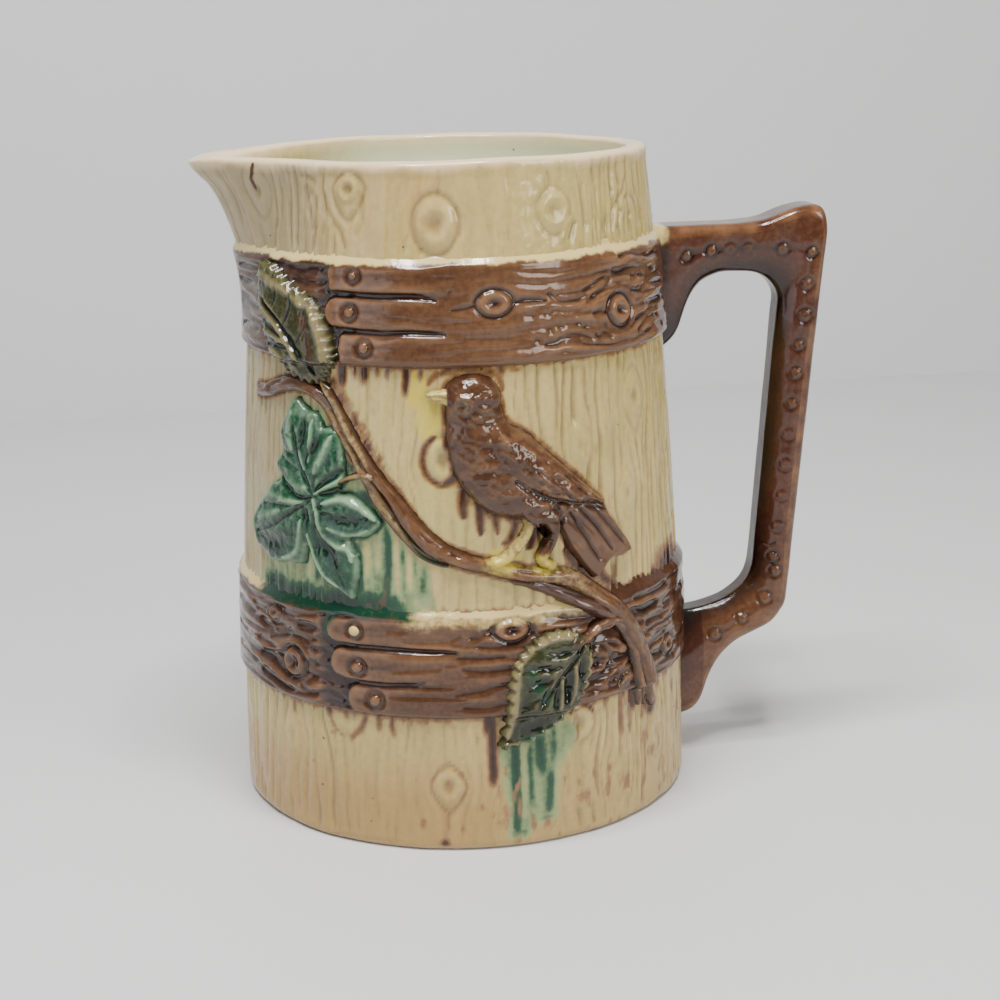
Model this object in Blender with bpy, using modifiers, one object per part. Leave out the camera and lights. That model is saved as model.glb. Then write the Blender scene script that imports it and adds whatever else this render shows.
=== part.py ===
"""Majolica pitcher, moulded like a wooden bucket with plank bands, a branch with leaves and a bird.

One fired piece: a hollow tapered body with a pulled lip at -X and a square handle at +X.
The origin is on the body's axis, at the flat underside. Metres, +Z up.
"""

import math

import bmesh
import bpy
from mathutils import Matrix, Vector

# Body
body_height = 0.190
base_radius = 0.0670
rim_radius = 0.0558
taper_power = 1.8
wall = 0.0052
floor_thickness = 0.0070
floor_round = 0.0080
foot_round = 0.0022
lip_round = 0.0015
turn_steps = 52

# Pulled lip
spout_reach = 0.0190
spout_drop = 0.0520
spout_power = 2.2
spout_nose = 0.16
spout_rows = 4
nose_crowding = 0.3

# Bands: the upper one is placed from the rim, the lower one from the underside
band_rise = 0.0016
band_edge = 0.0012
upper_band_drop = 0.0273
upper_band_height = 0.0263
upper_band_low = body_height - upper_band_drop - upper_band_height
lower_band_low = 0.0394
lower_band_height = 0.0281

# Handle
handle_thickness = 0.0160
handle_edge = 0.0030
handle_bar_high = 0.0128
handle_bar_low = 0.0111
handle_drop = 0.0255
handle_top = body_height - handle_drop
handle_top_reach = 0.1122
handle_arm = 0.0143
handle_low = 0.0410
handle_low_reach = 0.1004
handle_root_drop = 0.0305
handle_low_throat = 0.0045
handle_tongue_drop = 0.0400
knob_rise = 0.0050
knob_length = 0.0190

# Relief: outlines and rises are in relief units, 190 to the body's height; sinks are shares of the wall
relief_unit = body_height / 190.0
relief_radius = 0.94 * base_radius
relief_step = 14.0
branch_thickness = 0.0052
rivet_radius = 0.0017
knot_rise = 0.9

FRONT = 1
BACK = -1


def clear_scene():
    for old in list(bpy.data.objects):
        bpy.data.objects.remove(old, do_unlink=True)


def new_collection(name):
    collection = bpy.data.collections.new(name)
    bpy.context.scene.collection.children.link(collection)
    return collection


def glaze_material():
    material = bpy.data.materials.new("majolica_glaze")
    material.use_nodes = True
    shader = material.node_tree.nodes["Principled BSDF"]
    shader.inputs["Base Color"].default_value = (0.58, 0.47, 0.29, 1.0)
    shader.inputs["Roughness"].default_value = 0.16
    shader.inputs["Metallic"].default_value = 0.0
    return material


def wall_radius(z):
    """Outer radius of the plain wall at height z."""
    share = min(max(z / body_height, 0.0), 1.0)
    return base_radius - (base_radius - rim_radius) * share ** taper_power


def lip_push(angle, z):
    """How far the lip is pulled out of the round wall, angle being counted from the spout."""
    share = (z - (body_height - spout_drop)) / spout_drop
    if share <= 0.0:
        return 0.0
    reach = spout_reach * min(share, 1.0) ** spout_power
    radius = wall_radius(z)
    half_width = math.acos(radius / (radius + reach))
    away = math.hypot(angle, spout_nose) - spout_nose
    return radius / math.cos(max(0.0, half_width - away)) - radius


def arc(centre, radius, start, end, steps):
    """Points on an arc in the plane of the profile, angles in degrees from +X towards +Z."""
    points = []
    for index in range(steps + 1):
        angle = math.radians(start + (end - start) * index / steps)
        points.append((centre[0] + radius * math.cos(angle), centre[1] + radius * math.sin(angle)))
    return points


def inner_profile():
    """From the middle of the floor up the inside of the wall."""
    corner = wall_radius(floor_thickness + floor_round) - wall
    points = [(0.0, floor_thickness)]
    points += arc((corner - floor_round, floor_thickness + floor_round), floor_round, -90, 0, 2)
    lip_low = body_height - spout_drop
    for share in (0.5, 1.0):
        z = floor_thickness + floor_round + (lip_low - floor_thickness - floor_round) * share
        points.append((wall_radius(z) - wall, z))
    for row in range(1, spout_rows):
        z = lip_low + (body_height - lip_round - lip_low) * row / spout_rows
        points.append((wall_radius(z) - wall, z))
    return points


def lip_profile():
    """Over the rounded lip, from its inner to its outer edge."""
    middle = body_height - lip_round
    inside = (rim_radius - wall + lip_round, middle)
    outside = (rim_radius - lip_round, middle)
    return arc(inside, lip_round, 180, 90, 2) + arc(outside, lip_round, 90, 0, 2)


def band_profile(low, high):
    """Down over one band: in from the wall, along its face and back to the wall."""
    points = [(wall_radius(high + band_edge), high + band_edge)]
    for z in (high, low):
        points.append((wall_radius(z) + band_rise, z))
    points.append((wall_radius(low - band_edge), low - band_edge))
    return points


def outer_profile():
    """Down the outside of the wall to the foot and in along the underside."""
    upper_high = upper_band_low + upper_band_height
    lower_high = lower_band_low + lower_band_height
    points = []
    for share in (0.25, 0.5, 0.75):
        z = body_height - (body_height - upper_high) * share
        points.append((wall_radius(z), z))
    points += band_profile(upper_band_low, upper_high)
    middle = (upper_band_low + lower_high) / 2
    points.append((wall_radius(middle), middle))
    points += band_profile(lower_band_low, lower_high)
    middle = lower_band_low / 2
    points.append((wall_radius(middle), middle))
    foot = (wall_radius(foot_round) - foot_round, foot_round)
    points += arc(foot, foot_round, 0, -90, 2)
    points.append((0.0, 0.0))
    return points


def mesh_from(maker):
    """The evaluated mesh of an object, as an object of its own; the object is removed."""
    graph = bpy.context.evaluated_depsgraph_get()
    mesh = bpy.data.meshes.new_from_object(maker.evaluated_get(graph))
    made = bpy.data.objects.new(maker.name, mesh)
    made.matrix_world = maker.matrix_world.copy()
    bpy.data.objects.remove(maker, do_unlink=True)
    return made


def face_outwards(shape):
    shape.normal_update()
    bmesh.ops.recalc_face_normals(shape, faces=shape.faces)
    if shape.calc_volume(signed=True) < 0:
        bmesh.ops.reverse_faces(shape, faces=shape.faces)


def weld(mesh):
    shape = bmesh.new()
    shape.from_mesh(mesh)
    bmesh.ops.remove_doubles(shape, verts=shape.verts, dist=0.00001)
    face_outwards(shape)
    shape.to_mesh(mesh)
    shape.free()


def turned_body(collection):
    """The hollow body: a turned profile whose lip is then pulled out towards -X."""
    mesh = bpy.data.meshes.new("pitcher_profile")
    profile = inner_profile() + lip_profile() + outer_profile()
    vertices = [(x, 0.0, z) for x, z in profile]
    edges = [(index, index + 1) for index in range(len(vertices) - 1)]
    mesh.from_pydata(vertices, edges, [])
    maker = bpy.data.objects.new("pitcher_turning", mesh)
    collection.objects.link(maker)
    turning = maker.modifiers.new("turning", "SCREW")
    turning.steps = turn_steps
    turning.render_steps = turn_steps
    turning.use_merge_vertices = True
    turning.merge_threshold = 0.00001
    bpy.context.view_layer.update()
    body = mesh_from(maker)
    weld(body.data)
    for vertex in body.data.vertices:
        radius = math.hypot(vertex.co.x, vertex.co.y)
        if radius > 0.5 * rim_radius:
            angle = math.atan2(vertex.co.y, -vertex.co.x)
            angle -= nose_crowding * math.sin(angle)
            pulled = radius + lip_push(angle, vertex.co.z)
            vertex.co.x = -pulled * math.cos(angle)
            vertex.co.y = pulled * math.sin(angle)
    body.name = "pitcher"
    body.data.name = "pitcher"
    collection.objects.link(body)
    return body


def handle_stations():
    """Stations along the handle: outer point, inner point and share of the thickness.

    A level arm runs out from the wall to a thumb knob, a leaning bar runs down from it,
    and a lower arm curls back and spreads down the wall.
    """
    rise = handle_top - handle_low
    root = 0.75 * wall

    def outer(z):
        return handle_low_reach + (handle_top_reach - handle_low_reach) * (z - handle_low) / rise

    def inner(z):
        return outer(z) - handle_bar_low - (handle_bar_high - handle_bar_low) * (z - handle_low) / rise

    under = handle_top - handle_arm
    tongue = handle_top - handle_tongue_drop
    tail = handle_low - handle_root_drop
    throat = handle_low + handle_low_throat
    top_wall = wall_radius(handle_top)
    arm = handle_top_reach - top_wall
    bend = handle_bar_high
    stations = [((top_wall - root, handle_top), (wall_radius(tongue) - root, tongue), 0.9)]
    for far, near, drop in ((0.07, 0.15, 0.72), (0.15, 0.185, 0.46), (0.23, 0.22, 0.27), (0.33, 0.28, 0.10),
                            (0.48, 0.40, 0.0)):
        inner_z = under - (under - tongue) * drop
        stations.append(((top_wall + arm * far, handle_top), (top_wall + arm * near, inner_z), 1.0))
    turn = inner(under - bend * 0.6)
    for back, lift, in_back, in_drop in ((1.0, 0.15, 0.62, 0.03), (0.66, 0.7, 0.30, 0.16),
                                         (0.36, 0.95, 0.10, 0.38), (0.08, 1.0, 0.02, 0.55)):
        top = (handle_top_reach - knob_length * back, handle_top + knob_rise * lift)
        stations.append((top, (turn - bend * in_back, under - bend * in_drop), 1.0))
    stations.append(((handle_top_reach, handle_top - knob_rise * 0.3), (turn, under - bend * 0.7), 1.0))
    high = handle_top - knob_rise * 2.2
    stations.append(((outer(high), high), (inner(under - bend), under - bend), 1.0))
    for share in (0.35, 0.70):
        z = under - bend - (under - bend - throat - bend) * share
        stations.append(((outer(z), z), (inner(z), z), 1.0))
    stations.append(((outer(throat), throat), (inner(throat + bend), throat + bend), 1.0))
    low_wall = wall_radius(tail)
    span = handle_low_reach - low_wall
    for far, drop, near, lift in ((0.985, -0.13, 0.68, 0.70), (0.90, 0.02, 0.58, 0.44),
                                  (0.72, 0.11, 0.45, 0.22), (0.53, 0.20, 0.31, 0.10),
                                  (0.37, 0.36, 0.20, 0.03), (0.27, 0.56, 0.10, 0.0),
                                  (0.20, 0.82, 0.05, 0.0), (0.11, 0.95, 0.02, 0.0)):
        low = (low_wall + span * far, handle_low - handle_root_drop * drop)
        stations.append((low, (low_wall + span * near, throat + bend * lift), 1.0))
    stations.append(((low_wall - root, tail), (wall_radius(throat) - root, throat), 0.9))
    return stations


def section(outer, inner, thickness, edge):
    """A rounded oblong between an outer and an inner point, as thick as given along Y."""
    start = Vector((inner[0], 0.0, inner[1]))
    end = Vector((outer[0], 0.0, outer[1]))
    along = (end - start).normalized()
    depth = (end - start).length
    ring = []
    for u, y, first in ((depth - edge, thickness / 2 - edge, 0), (edge, thickness / 2 - edge, 90),
                        (edge, edge - thickness / 2, 180), (depth - edge, edge - thickness / 2, 270)):
        for angle in (first, first + 45, first + 90):
            across = u + edge * math.cos(math.radians(angle))
            side = y + edge * math.sin(math.radians(angle))
            ring.append(start + along * across + Vector((0.0, side, 0.0)))
    return ring


def handle_solid(collection):
    """The handle, lofted through the oblong sections of its stations."""
    shape = bmesh.new()
    rings = []
    for outer, inner, share in handle_stations():
        places = section(outer, inner, handle_thickness * share, handle_edge)
        rings.append([shape.verts.new(place) for place in places])
    count = len(rings[0])
    for first, second in zip(rings, rings[1:]):
        for index in range(count):
            after = (index + 1) % count
            shape.faces.new((first[index], first[after], second[after], second[index]))
    shape.faces.new(rings[0])
    shape.faces.new(rings[-1])
    face_outwards(shape)
    object_from(shape, "handle", collection)


def on_wall(s, z, rise, side):
    """A place on the wall: s across from the middle of the side, z up, rise out of it, in relief units."""
    angle = s * relief_unit / relief_radius
    height = z * relief_unit
    from_spout = math.pi / 2 + angle
    radius = wall_radius(height) + lip_push(from_spout, height) + rise * relief_unit
    return Vector((radius * math.sin(angle), -side * radius * math.cos(angle), height))


def lay_on_wall(shape, side):
    """Bend a flat relief onto the wall, cut upright first so that its broad faces follow the curve."""
    places = [vertex.co.x for vertex in shape.verts]
    first = math.ceil(min(places) / relief_step)
    last = math.floor(max(places) / relief_step)
    for index in range(first, last + 1):
        parts = shape.verts[:] + shape.edges[:] + shape.faces[:]
        at = Vector((index * relief_step, 0, 0))
        bmesh.ops.bisect_plane(shape, geom=parts, plane_co=at, plane_no=(1, 0, 0), dist=0.05)
    for vertex in shape.verts:
        vertex.co = on_wall(vertex.co.x, vertex.co.z, vertex.co.y, side)
    face_outwards(shape)


def object_from(shape, name, collection):
    mesh = bpy.data.meshes.new(name)
    shape.to_mesh(mesh)
    shape.free()
    collection.objects.link(bpy.data.objects.new(name, mesh))


def raised_plate(name, outline, base, inset, lift, side, collection, sink=0.4, fade=0.0):
    """A relief plate: its outline stands up by base, and inside the inset its top is lifted.

    It reaches into the wall by the sink, and with a fade its top sinks from its left to its right end.
    """
    depth = sink * wall / relief_unit
    shape = bmesh.new()
    corners = [shape.verts.new((s, -depth, z)) for s, z in outline]
    face = shape.faces.new(corners)
    raised = bmesh.ops.extrude_face_region(shape, geom=[face])
    tops = [item for item in raised["geom"] if isinstance(item, bmesh.types.BMVert)]
    bmesh.ops.translate(shape, verts=tops, vec=(0, depth + base, 0))
    top = [item for item in raised["geom"] if isinstance(item, bmesh.types.BMFace)][0]
    bmesh.ops.inset_region(shape, faces=[top], thickness=inset, use_even_offset=False)
    bmesh.ops.translate(shape, verts=top.verts[:], vec=(0, lift, 0))
    left = min(s for s, z in outline)
    length = max(s for s, z in outline) - left
    for vertex in shape.verts:
        if vertex.co.y > 0:
            vertex.co.y -= fade * (vertex.co.x - left) / length
    bmesh.ops.triangulate(shape, faces=[item for item in shape.faces if len(item.verts) > 4])
    lay_on_wall(shape, side)
    object_from(shape, name, collection)


def oval(centre, width, height, turn, steps):
    """Points of an oval in relief units, turned by turn degrees."""
    points = []
    tilt = math.radians(turn)
    for index in range(steps):
        angle = 2 * math.pi * index / steps
        across = width / 2 * math.cos(angle)
        up = height / 2 * math.sin(angle)
        s = centre[0] + across * math.cos(tilt) - up * math.sin(tilt)
        z = centre[1] + across * math.sin(tilt) + up * math.cos(tilt)
        points.append((s, z))
    return points


def tube_on_wall(name, path, thickness, rise, side, collection):
    """A round bar laid along the wall; path gives s, z and its share of the thickness."""
    curve = bpy.data.curves.new(name, "CURVE")
    curve.dimensions = "3D"
    curve.bevel_depth = thickness / 2
    curve.bevel_resolution = 1
    curve.use_fill_caps = True
    spline = curve.splines.new("POLY")
    spline.points.add(len(path) - 1)
    for point, (s, z, share) in zip(spline.points, path):
        point.co = (*on_wall(s, z, rise, side), 1.0)
        point.radius = share
    maker = bpy.data.objects.new(name, curve)
    collection.objects.link(maker)
    bpy.context.view_layer.update()
    made = mesh_from(maker)
    weld(made.data)
    collection.objects.link(made)


def smooth_path(bends, parts):
    """A smooth run through bends of s, z and share, with parts stretches between each two."""
    path = []
    for index in range(len(bends) - 1):
        before = Vector(bends[max(index - 1, 0)])
        start = Vector(bends[index])
        end = Vector(bends[index + 1])
        after = Vector(bends[min(index + 2, len(bends) - 1)])
        for part in range(parts):
            t = part / parts
            place = start * 2 + (end - before) * t
            place += (before * 2 - start * 5 + end * 4 - after) * t ** 2
            place += (start * 3 - before - end * 3 + after) * t ** 3
            path.append(tuple(place / 2))
    path.append(bends[-1])
    return path


def knot(name, centre, width, height, turn, side, collection, stand=0.0):
    """A knot in the wood: an oval with a raised rim and a hollow middle."""
    outline = oval(centre, width, height, turn, 9)
    rim = 0.13 * (width + height)
    raised_plate(name, outline, stand + knot_rise, rim, -0.5, side, collection, sink=0.25)


def branch(side, collection):
    """The branch that runs down across the side, with its stub, twig and leaf stalk."""
    main = [(-49, 130, 1.0), (-39.5, 119, 0.95), (-29, 104.5, 0.85), (-20, 91.5, 0.9),
            (-8, 83.5, 1.0), (6, 79, 1.05), (19, 75.3, 1.25), (32, 67.5, 1.35), (39.5, 58, 1.25),
            (44.5, 47, 1.05), (50.5, 32.5, 0.45)]
    stub = [(-75, 126.5, 1.0), (-66, 127.6, 0.9), (-57, 128.6, 0.85), (-47, 126, 0.7)]
    stalk = [(-31, 107, 0.5), (-36, 105.5, 0.45), (-43, 102, 0.4), (-49, 99, 0.4)]
    twig = [(36, 60, 0.6), (31, 61.3, 0.55), (26.5, 59.8, 0.5), (22.5, 56.5, 0.45)]
    for name, bends, rise in (("branch", main, 1.2), ("branch_stub", stub, 0.6),
                              ("leaf_stalk", stalk, 1.6), ("branch_twig", twig, 2.6)):
        tube_on_wall(name, smooth_path(bends, 2), branch_thickness, rise, side, collection)


def saw_edge(start, end, teeth, depth, bow):
    """A serrated edge from start to end, bowed outwards to the left of the way it runs."""
    points = []
    along = (end[0] - start[0], end[1] - start[1])
    length = math.hypot(*along)
    across = (-along[1] / length, along[0] / length)
    for index in range(teeth):
        for share, cut in ((0.0, 0.0), (0.62, 1.0)):
            t = (index + share) / teeth
            out = bow * math.sin(math.pi * t ** 0.9) + depth * cut
            points.append((start[0] + along[0] * t + across[0] * out,
                           start[1] + along[1] * t + across[1] * out))
    return points


def serrated_leaf(name, base, tip, left_bow, right_bow, side, collection):
    """A pointed leaf with saw-tooth edges, from base to tip, raised and crowned."""
    outline = saw_edge(base, tip, 5, 1.1, left_bow) + saw_edge(tip, base, 5, 1.1, right_bow)
    raised_plate(name, outline, 1.5, 2.2, 1.2, side, collection, sink=0.35)


def lobed_leaf(name, side, collection):
    """The ivy leaf: broad lobes about the place where its veins meet."""
    outline = [(-42, 105), (-40.5, 109), (-40.2, 113), (-42.5, 118), (-45, 120.5), (-49.5, 120),
               (-53, 122.5), (-57.5, 125.5), (-61.5, 121.5), (-63.5, 116), (-62.8, 110.5), (-66, 107),
               (-64, 101.5), (-69, 97.5), (-75, 93), (-78.5, 86.5), (-76, 81), (-69, 79), (-62, 78.6),
               (-57, 79.6), (-53.5, 84), (-50.5, 82.5), (-47, 77.5), (-42.5, 73.5), (-38, 72.2),
               (-36.2, 77.5), (-36.3, 84), (-38.5, 88.5), (-34, 90.2), (-29.8, 94.3), (-33.5, 98.6),
               (-38.5, 100.6)]
    raised_plate(name, outline, 1.4, 2.0, 1.2, side, collection)


def leaves(side, collection):
    serrated_leaf("upper_leaf", (-48, 131), (-74.5, 160.5), 9.5, 9.0, side, collection)
    lobed_leaf("ivy_leaf", side, collection)
    serrated_leaf("lower_leaf", (23, 59), (1, 30.5), 9.0, 8.0, side, collection)


def bird(side, collection):
    """The small bird on the branch, looking towards the spout."""
    body = [(-11.6, 125), (-11.8, 128.5), (-10.5, 131.5), (-7.5, 133.3), (-3.8, 133.3), (-0.6, 131.4),
            (1.4, 127.6), (2.6, 123.6), (5.5, 120.3), (11, 116.6), (16, 111.8), (21, 107.2), (27, 101.8),
            (32.4, 96), (25, 95.4), (18.5, 91.5), (14, 93.5), (6.5, 94.2), (0, 96.2), (-5, 100.4),
            (-8.6, 106), (-10.7, 112), (-11.4, 119)]
    tail = [(18.5, 97), (31, 97), (34.5, 92), (39, 87), (42.6, 81.5), (42.2, 79.8), (35.5, 79.6),
            (31.5, 77), (29.3, 75), (25, 79.4), (20.5, 86.5)]
    wing = [(3.4, 119.6), (8, 117.4), (14, 112.6), (20, 107.3), (27, 101), (33.2, 94.8), (26, 95.9),
            (18.5, 98.4), (12, 102.2), (6.5, 106), (2.2, 111), (1.4, 116)]
    thigh = [(6.5, 101), (12.5, 99.8), (16.5, 96), (17.6, 91.8), (15.6, 87.6), (12.6, 89.6), (9.6, 92.6),
             (6, 95.6)]
    raised_plate("bird_body", body, 1.8, 2.4, 1.9, side, collection)
    raised_plate("bird_tail", tail, 1.4, 1.2, 0.6, side, collection, sink=0.36)
    raised_plate("bird_wing", wing, 4.0, 1.1, 0.8, side, collection, sink=0.31)
    raised_plate("bird_thigh", thigh, 2.8, 1.2, 0.9, side, collection, sink=0.26)
    near_leg = [(9.4, 95, 0.55), (9.8, 91.6, 0.5), (6, 87, 0.42), (2.8, 83.4, 0.5)]
    far_leg = [(16, 91, 0.62), (14.4, 87, 0.5), (11.6, 83, 0.45), (13.5, 80.6, 0.5)]
    beak = [(-9, 128.2, 1.0), (-12.5, 128.5, 0.85), (-16.8, 129, 0.15)]
    for name, bends in (("near_leg", near_leg), ("far_leg", far_leg), ("bird_beak", beak)):
        tube_on_wall(name, bends, branch_thickness, 1.2, side, collection)


def strap(name, start, tip, low, high, end, side, collection):
    """The rounded end of one plank strap, standing on its band and fading into it to the right."""
    outline = [(start, tip), (start + 1.4, (tip + high) / 2 + 0.6), (start + 5, high), (end, high - 0.3),
               (end, low + 0.3), (start + 5, low), (start + 1.4, (tip + low) / 2 - 0.6)]
    base = band_rise / relief_unit + 0.4
    raised_plate(name, outline, base, 0.7, 0.4, side, collection, sink=0.3, fade=1.1)


def rivet(name, s, z, side, collection):
    """A domed rivet head on a strap."""
    shape = bmesh.new()
    turned = Matrix.Rotation(math.radians(90), 4, "X")
    radius = rivet_radius / relief_unit
    bmesh.ops.create_uvsphere(shape, u_segments=7, v_segments=4, radius=radius, matrix=turned)
    lift = band_rise / relief_unit + 0.6
    for vertex in shape.verts:
        vertex.co = on_wall(s + vertex.co.x, z + vertex.co.z, lift + vertex.co.y, side)
    face_outwards(shape)
    object_from(shape, name, collection)


def on_band(low, height, share):
    """Height in relief units of a share of a band's height."""
    return (low + height * share) / relief_unit


def straps(side, collection):
    """Three riveted strap ends on each band; their heights are shares of the band's height."""
    upper = [(-44.5, 0.86, 0.753, 0.981, -12, -38, 0.897), (-45.6, 0.517, 0.357, 0.677, -13, -38.3, 0.529),
             (-42.5, 0.175, 0.03, 0.297, -13, -34, 0.163)]
    lower = [(-44.8, 0.819, 0.733, 0.975, -14, -37.3, 0.851), (-44.8, 0.47, 0.342, 0.662, -18, -36.9, 0.477),
             (-39.2, 0.142, 0.028, 0.285, -18, -31.8, 0.164)]
    for band, places, band_low, height in (("upper", upper, upper_band_low, upper_band_height),
                                           ("lower", lower, lower_band_low, lower_band_height)):
        for index, (start, tip, low, high, end, head_s, head) in enumerate(places):
            tip, low, high, head = [on_band(band_low, height, share) for share in (tip, low, high, head)]
            strap(f"{band}_strap_{index + 1}", start, tip, low, high, end, side, collection)
            rivet(f"{band}_rivet_{index + 1}", head_s, head, side, collection)


def knots(side, collection):
    """The knots of the staves and of the planks, fewer of them on the back."""
    staves = [((-40.5, 181), 7.5, 9), ((-13.3, 173.3), 8, 9), ((22.5, 176.5), 7.5, 9), ((50, 122), 7, 12),
              ((-13.2, 18.5), 7.5, 11), ((23.5, 34), 7.5, 8.5), ((53, 22), 6.5, 10), ((-37.5, 35), 8, 9)]
    upper = on_band(upper_band_low, upper_band_height, 0.62)
    upper_right = on_band(upper_band_low, upper_band_height, 0.40)
    lower_left = on_band(lower_band_low, lower_band_height, 0.40)
    lower = on_band(lower_band_low, lower_band_height, 0.87)
    planks = [((2.5, upper), 9, 6.5, 0), ((44, upper_right), 9.5, 7, -18), ((-58.5, lower_left), 7, 7, 0),
              ((4.2, lower), 7.5, 5.2, 0)]
    if side == BACK:
        staves = staves[1:5]
        planks = planks[:2]
    for index, (centre, width, height) in enumerate(staves):
        knot(f"stave_knot_{index + 1}", centre, width, height, 0, side, collection)
    lift = band_rise / relief_unit
    for index, (centre, width, height, turn) in enumerate(planks):
        knot(f"plank_knot_{index + 1}", centre, width, height, turn, side, collection, stand=lift)


def join_onto(body, relief):
    """Fuse all that is in the relief collection with the body, as one clay."""
    for piece in relief.objects:
        piece.hide_render = True
        piece.display_type = "WIRE"
    fuse = body.modifiers.new("one_clay", "BOOLEAN")
    fuse.operation = "UNION"
    fuse.solver = "EXACT"
    fuse.operand_type = "COLLECTION"
    fuse.collection = relief


def main():
    clear_scene()
    parts = new_collection("majolica_pitcher")
    relief = new_collection("relief_and_handle")
    body = turned_body(parts)
    handle_solid(relief)
    for side in (FRONT, BACK):
        straps(side, relief)
        knots(side, relief)
        leaves(side, relief)
        branch(side, relief)
    bird(FRONT, relief)
    join_onto(body, relief)
    body.data.materials.append(glaze_material())
    body.data.shade_smooth()
    body.data.set_sharp_from_angle(angle=math.radians(35))


main()
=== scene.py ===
# Majolica pitcher: the glazed surface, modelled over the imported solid
import math
import bpy
import numpy as np
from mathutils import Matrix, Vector


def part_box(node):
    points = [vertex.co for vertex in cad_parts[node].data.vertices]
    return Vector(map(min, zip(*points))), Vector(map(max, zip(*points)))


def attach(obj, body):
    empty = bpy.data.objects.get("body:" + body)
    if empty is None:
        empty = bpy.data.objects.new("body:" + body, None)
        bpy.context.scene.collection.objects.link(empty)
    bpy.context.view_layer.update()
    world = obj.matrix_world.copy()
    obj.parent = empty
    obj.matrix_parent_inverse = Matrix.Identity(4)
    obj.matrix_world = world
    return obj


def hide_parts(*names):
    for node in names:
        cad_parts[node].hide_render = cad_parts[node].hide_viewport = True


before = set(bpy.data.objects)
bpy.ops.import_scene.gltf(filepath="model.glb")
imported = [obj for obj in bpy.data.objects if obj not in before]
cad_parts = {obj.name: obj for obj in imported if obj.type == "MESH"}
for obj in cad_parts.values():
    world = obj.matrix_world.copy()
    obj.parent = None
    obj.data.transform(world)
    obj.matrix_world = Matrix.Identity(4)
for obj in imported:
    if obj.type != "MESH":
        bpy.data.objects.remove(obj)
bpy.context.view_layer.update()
bpy.ops.object.select_all(action="DESELECT")
solidLow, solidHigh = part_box("pitcher")
unit = (solidHigh[2] - solidLow[2]) / 190  # metres in one relief unit, a millimetre at this size
print("frame loaded")

# The clay body, in relief units as the solid has it
form = {
    "height": 190.0, "base": 67.0, "rim": 55.8, "taper": 1.8, "wall": 5.2,
    "floor": 7.0, "floorRound": 8.0, "footRound": 2.2, "lipRound": 1.7,
    "spoutReach": 19.0, "spoutDrop": 52.0, "spoutPower": 2.2, "spoutNose": 0.16,
    "sideRadius": 62.98,
    "upperBand": (136.6, 162.4), "lowerBand": (40.0, 67.3), "bandRise": 1.6, "ledge": 3.6,
}
front, back = 1, -1


# Noise, distances and soft steps on arrays

def ease(start, end, x):
    share = np.clip((x - start) / (end - start), 0, 1)
    return share * share * (3 - 2 * share)


def softNoise(u, v, seed):
    table = np.random.RandomState(seed).uniform(-1, 1, (64, 64))
    column, row = np.floor(u).astype(int), np.floor(v).astype(int)
    across, up = u - column, v - row
    across, up = across ** 2 * (3 - 2 * across), up ** 2 * (3 - 2 * up)
    column, row, nextColumn, nextRow = column % 64, row % 64, (column + 1) % 64, (row + 1) % 64
    left = table[column, row] * (1 - up) + table[column, nextRow] * up
    right = table[nextColumn, row] * (1 - up) + table[nextColumn, nextRow] * up
    return left * (1 - across) + right * across


def smoothRun(points, parts, closed=False):
    places = np.array(points, float)
    count = len(places)
    run = []
    for index in range(count if closed else count - 1):
        if closed:
            a, b, c, d = (places[(index + shift) % count] for shift in (-1, 0, 1, 2))
        else:
            a, b, c, d = (places[min(max(index + shift, 0), count - 1)] for shift in (-1, 0, 1, 2))
        for part in range(parts):
            t = part / parts
            run.append((2 * b + (c - a) * t + (2 * a - 5 * b + 4 * c - d) * t * t
                        + (3 * b - a - 3 * c + d) * t ** 3) / 2)
    run.append(run[0] if closed else places[-1])
    return np.array(run)


# Distance to a line, how far along it, and whether the place is inside when the line is a ring
def lineDistance(s, z, run):
    nearest = np.full(s.shape, 1e9)
    along = np.zeros(s.shape)
    inside = np.zeros(s.shape, bool)
    for index in range(len(run) - 1):
        (s0, z0), (s1, z1) = run[index][:2], run[index + 1][:2]
        ds, dz = s1 - s0, z1 - z0
        share = np.clip(((s - s0) * ds + (z - z0) * dz) / (ds * ds + dz * dz + 1e-12), 0, 1)
        away = np.hypot(s - s0 - share * ds, z - z0 - share * dz)
        nearer = away < nearest
        nearest = np.where(nearer, away, nearest)
        along = np.where(nearer, index + share, along)
        if abs(dz) > 1e-9:
            inside ^= ((z0 > z) != (z1 > z)) & (s < s0 + (z - z0) * ds / dz)
    return nearest, along / (len(run) - 1), inside


def insideDistance(s, z, ring):
    away, along, inside = lineDistance(s, z, ring)
    return np.where(inside, away, -away), along


# A soft stroke along a bent line, fading towards its ends; 1 on the line
def stroke(s, z, points, width, fade=0.5):
    run = smoothRun(points, 4)
    reach = width * 3
    near = ((s > run[:, 0].min() - reach) & (s < run[:, 0].max() + reach)
            & (z > run[:, 1].min() - reach) & (z < run[:, 1].max() + reach))
    mask = np.zeros(s.shape)
    if near.any():
        away, along = lineDistance(s[near], z[near], run)[:2]
        swell = 0.2 + 0.8 * np.sin(np.pi * along) ** fade
        mask[near] = np.exp(-(away / (width * swell)) ** 2)
    return mask


def strokes(s, z, lines, fade=0.5):
    mask = np.zeros(s.shape)
    for points, width, share in lines:
        mask = np.maximum(mask, share * stroke(s, z, points, width, fade))
    return mask


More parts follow.
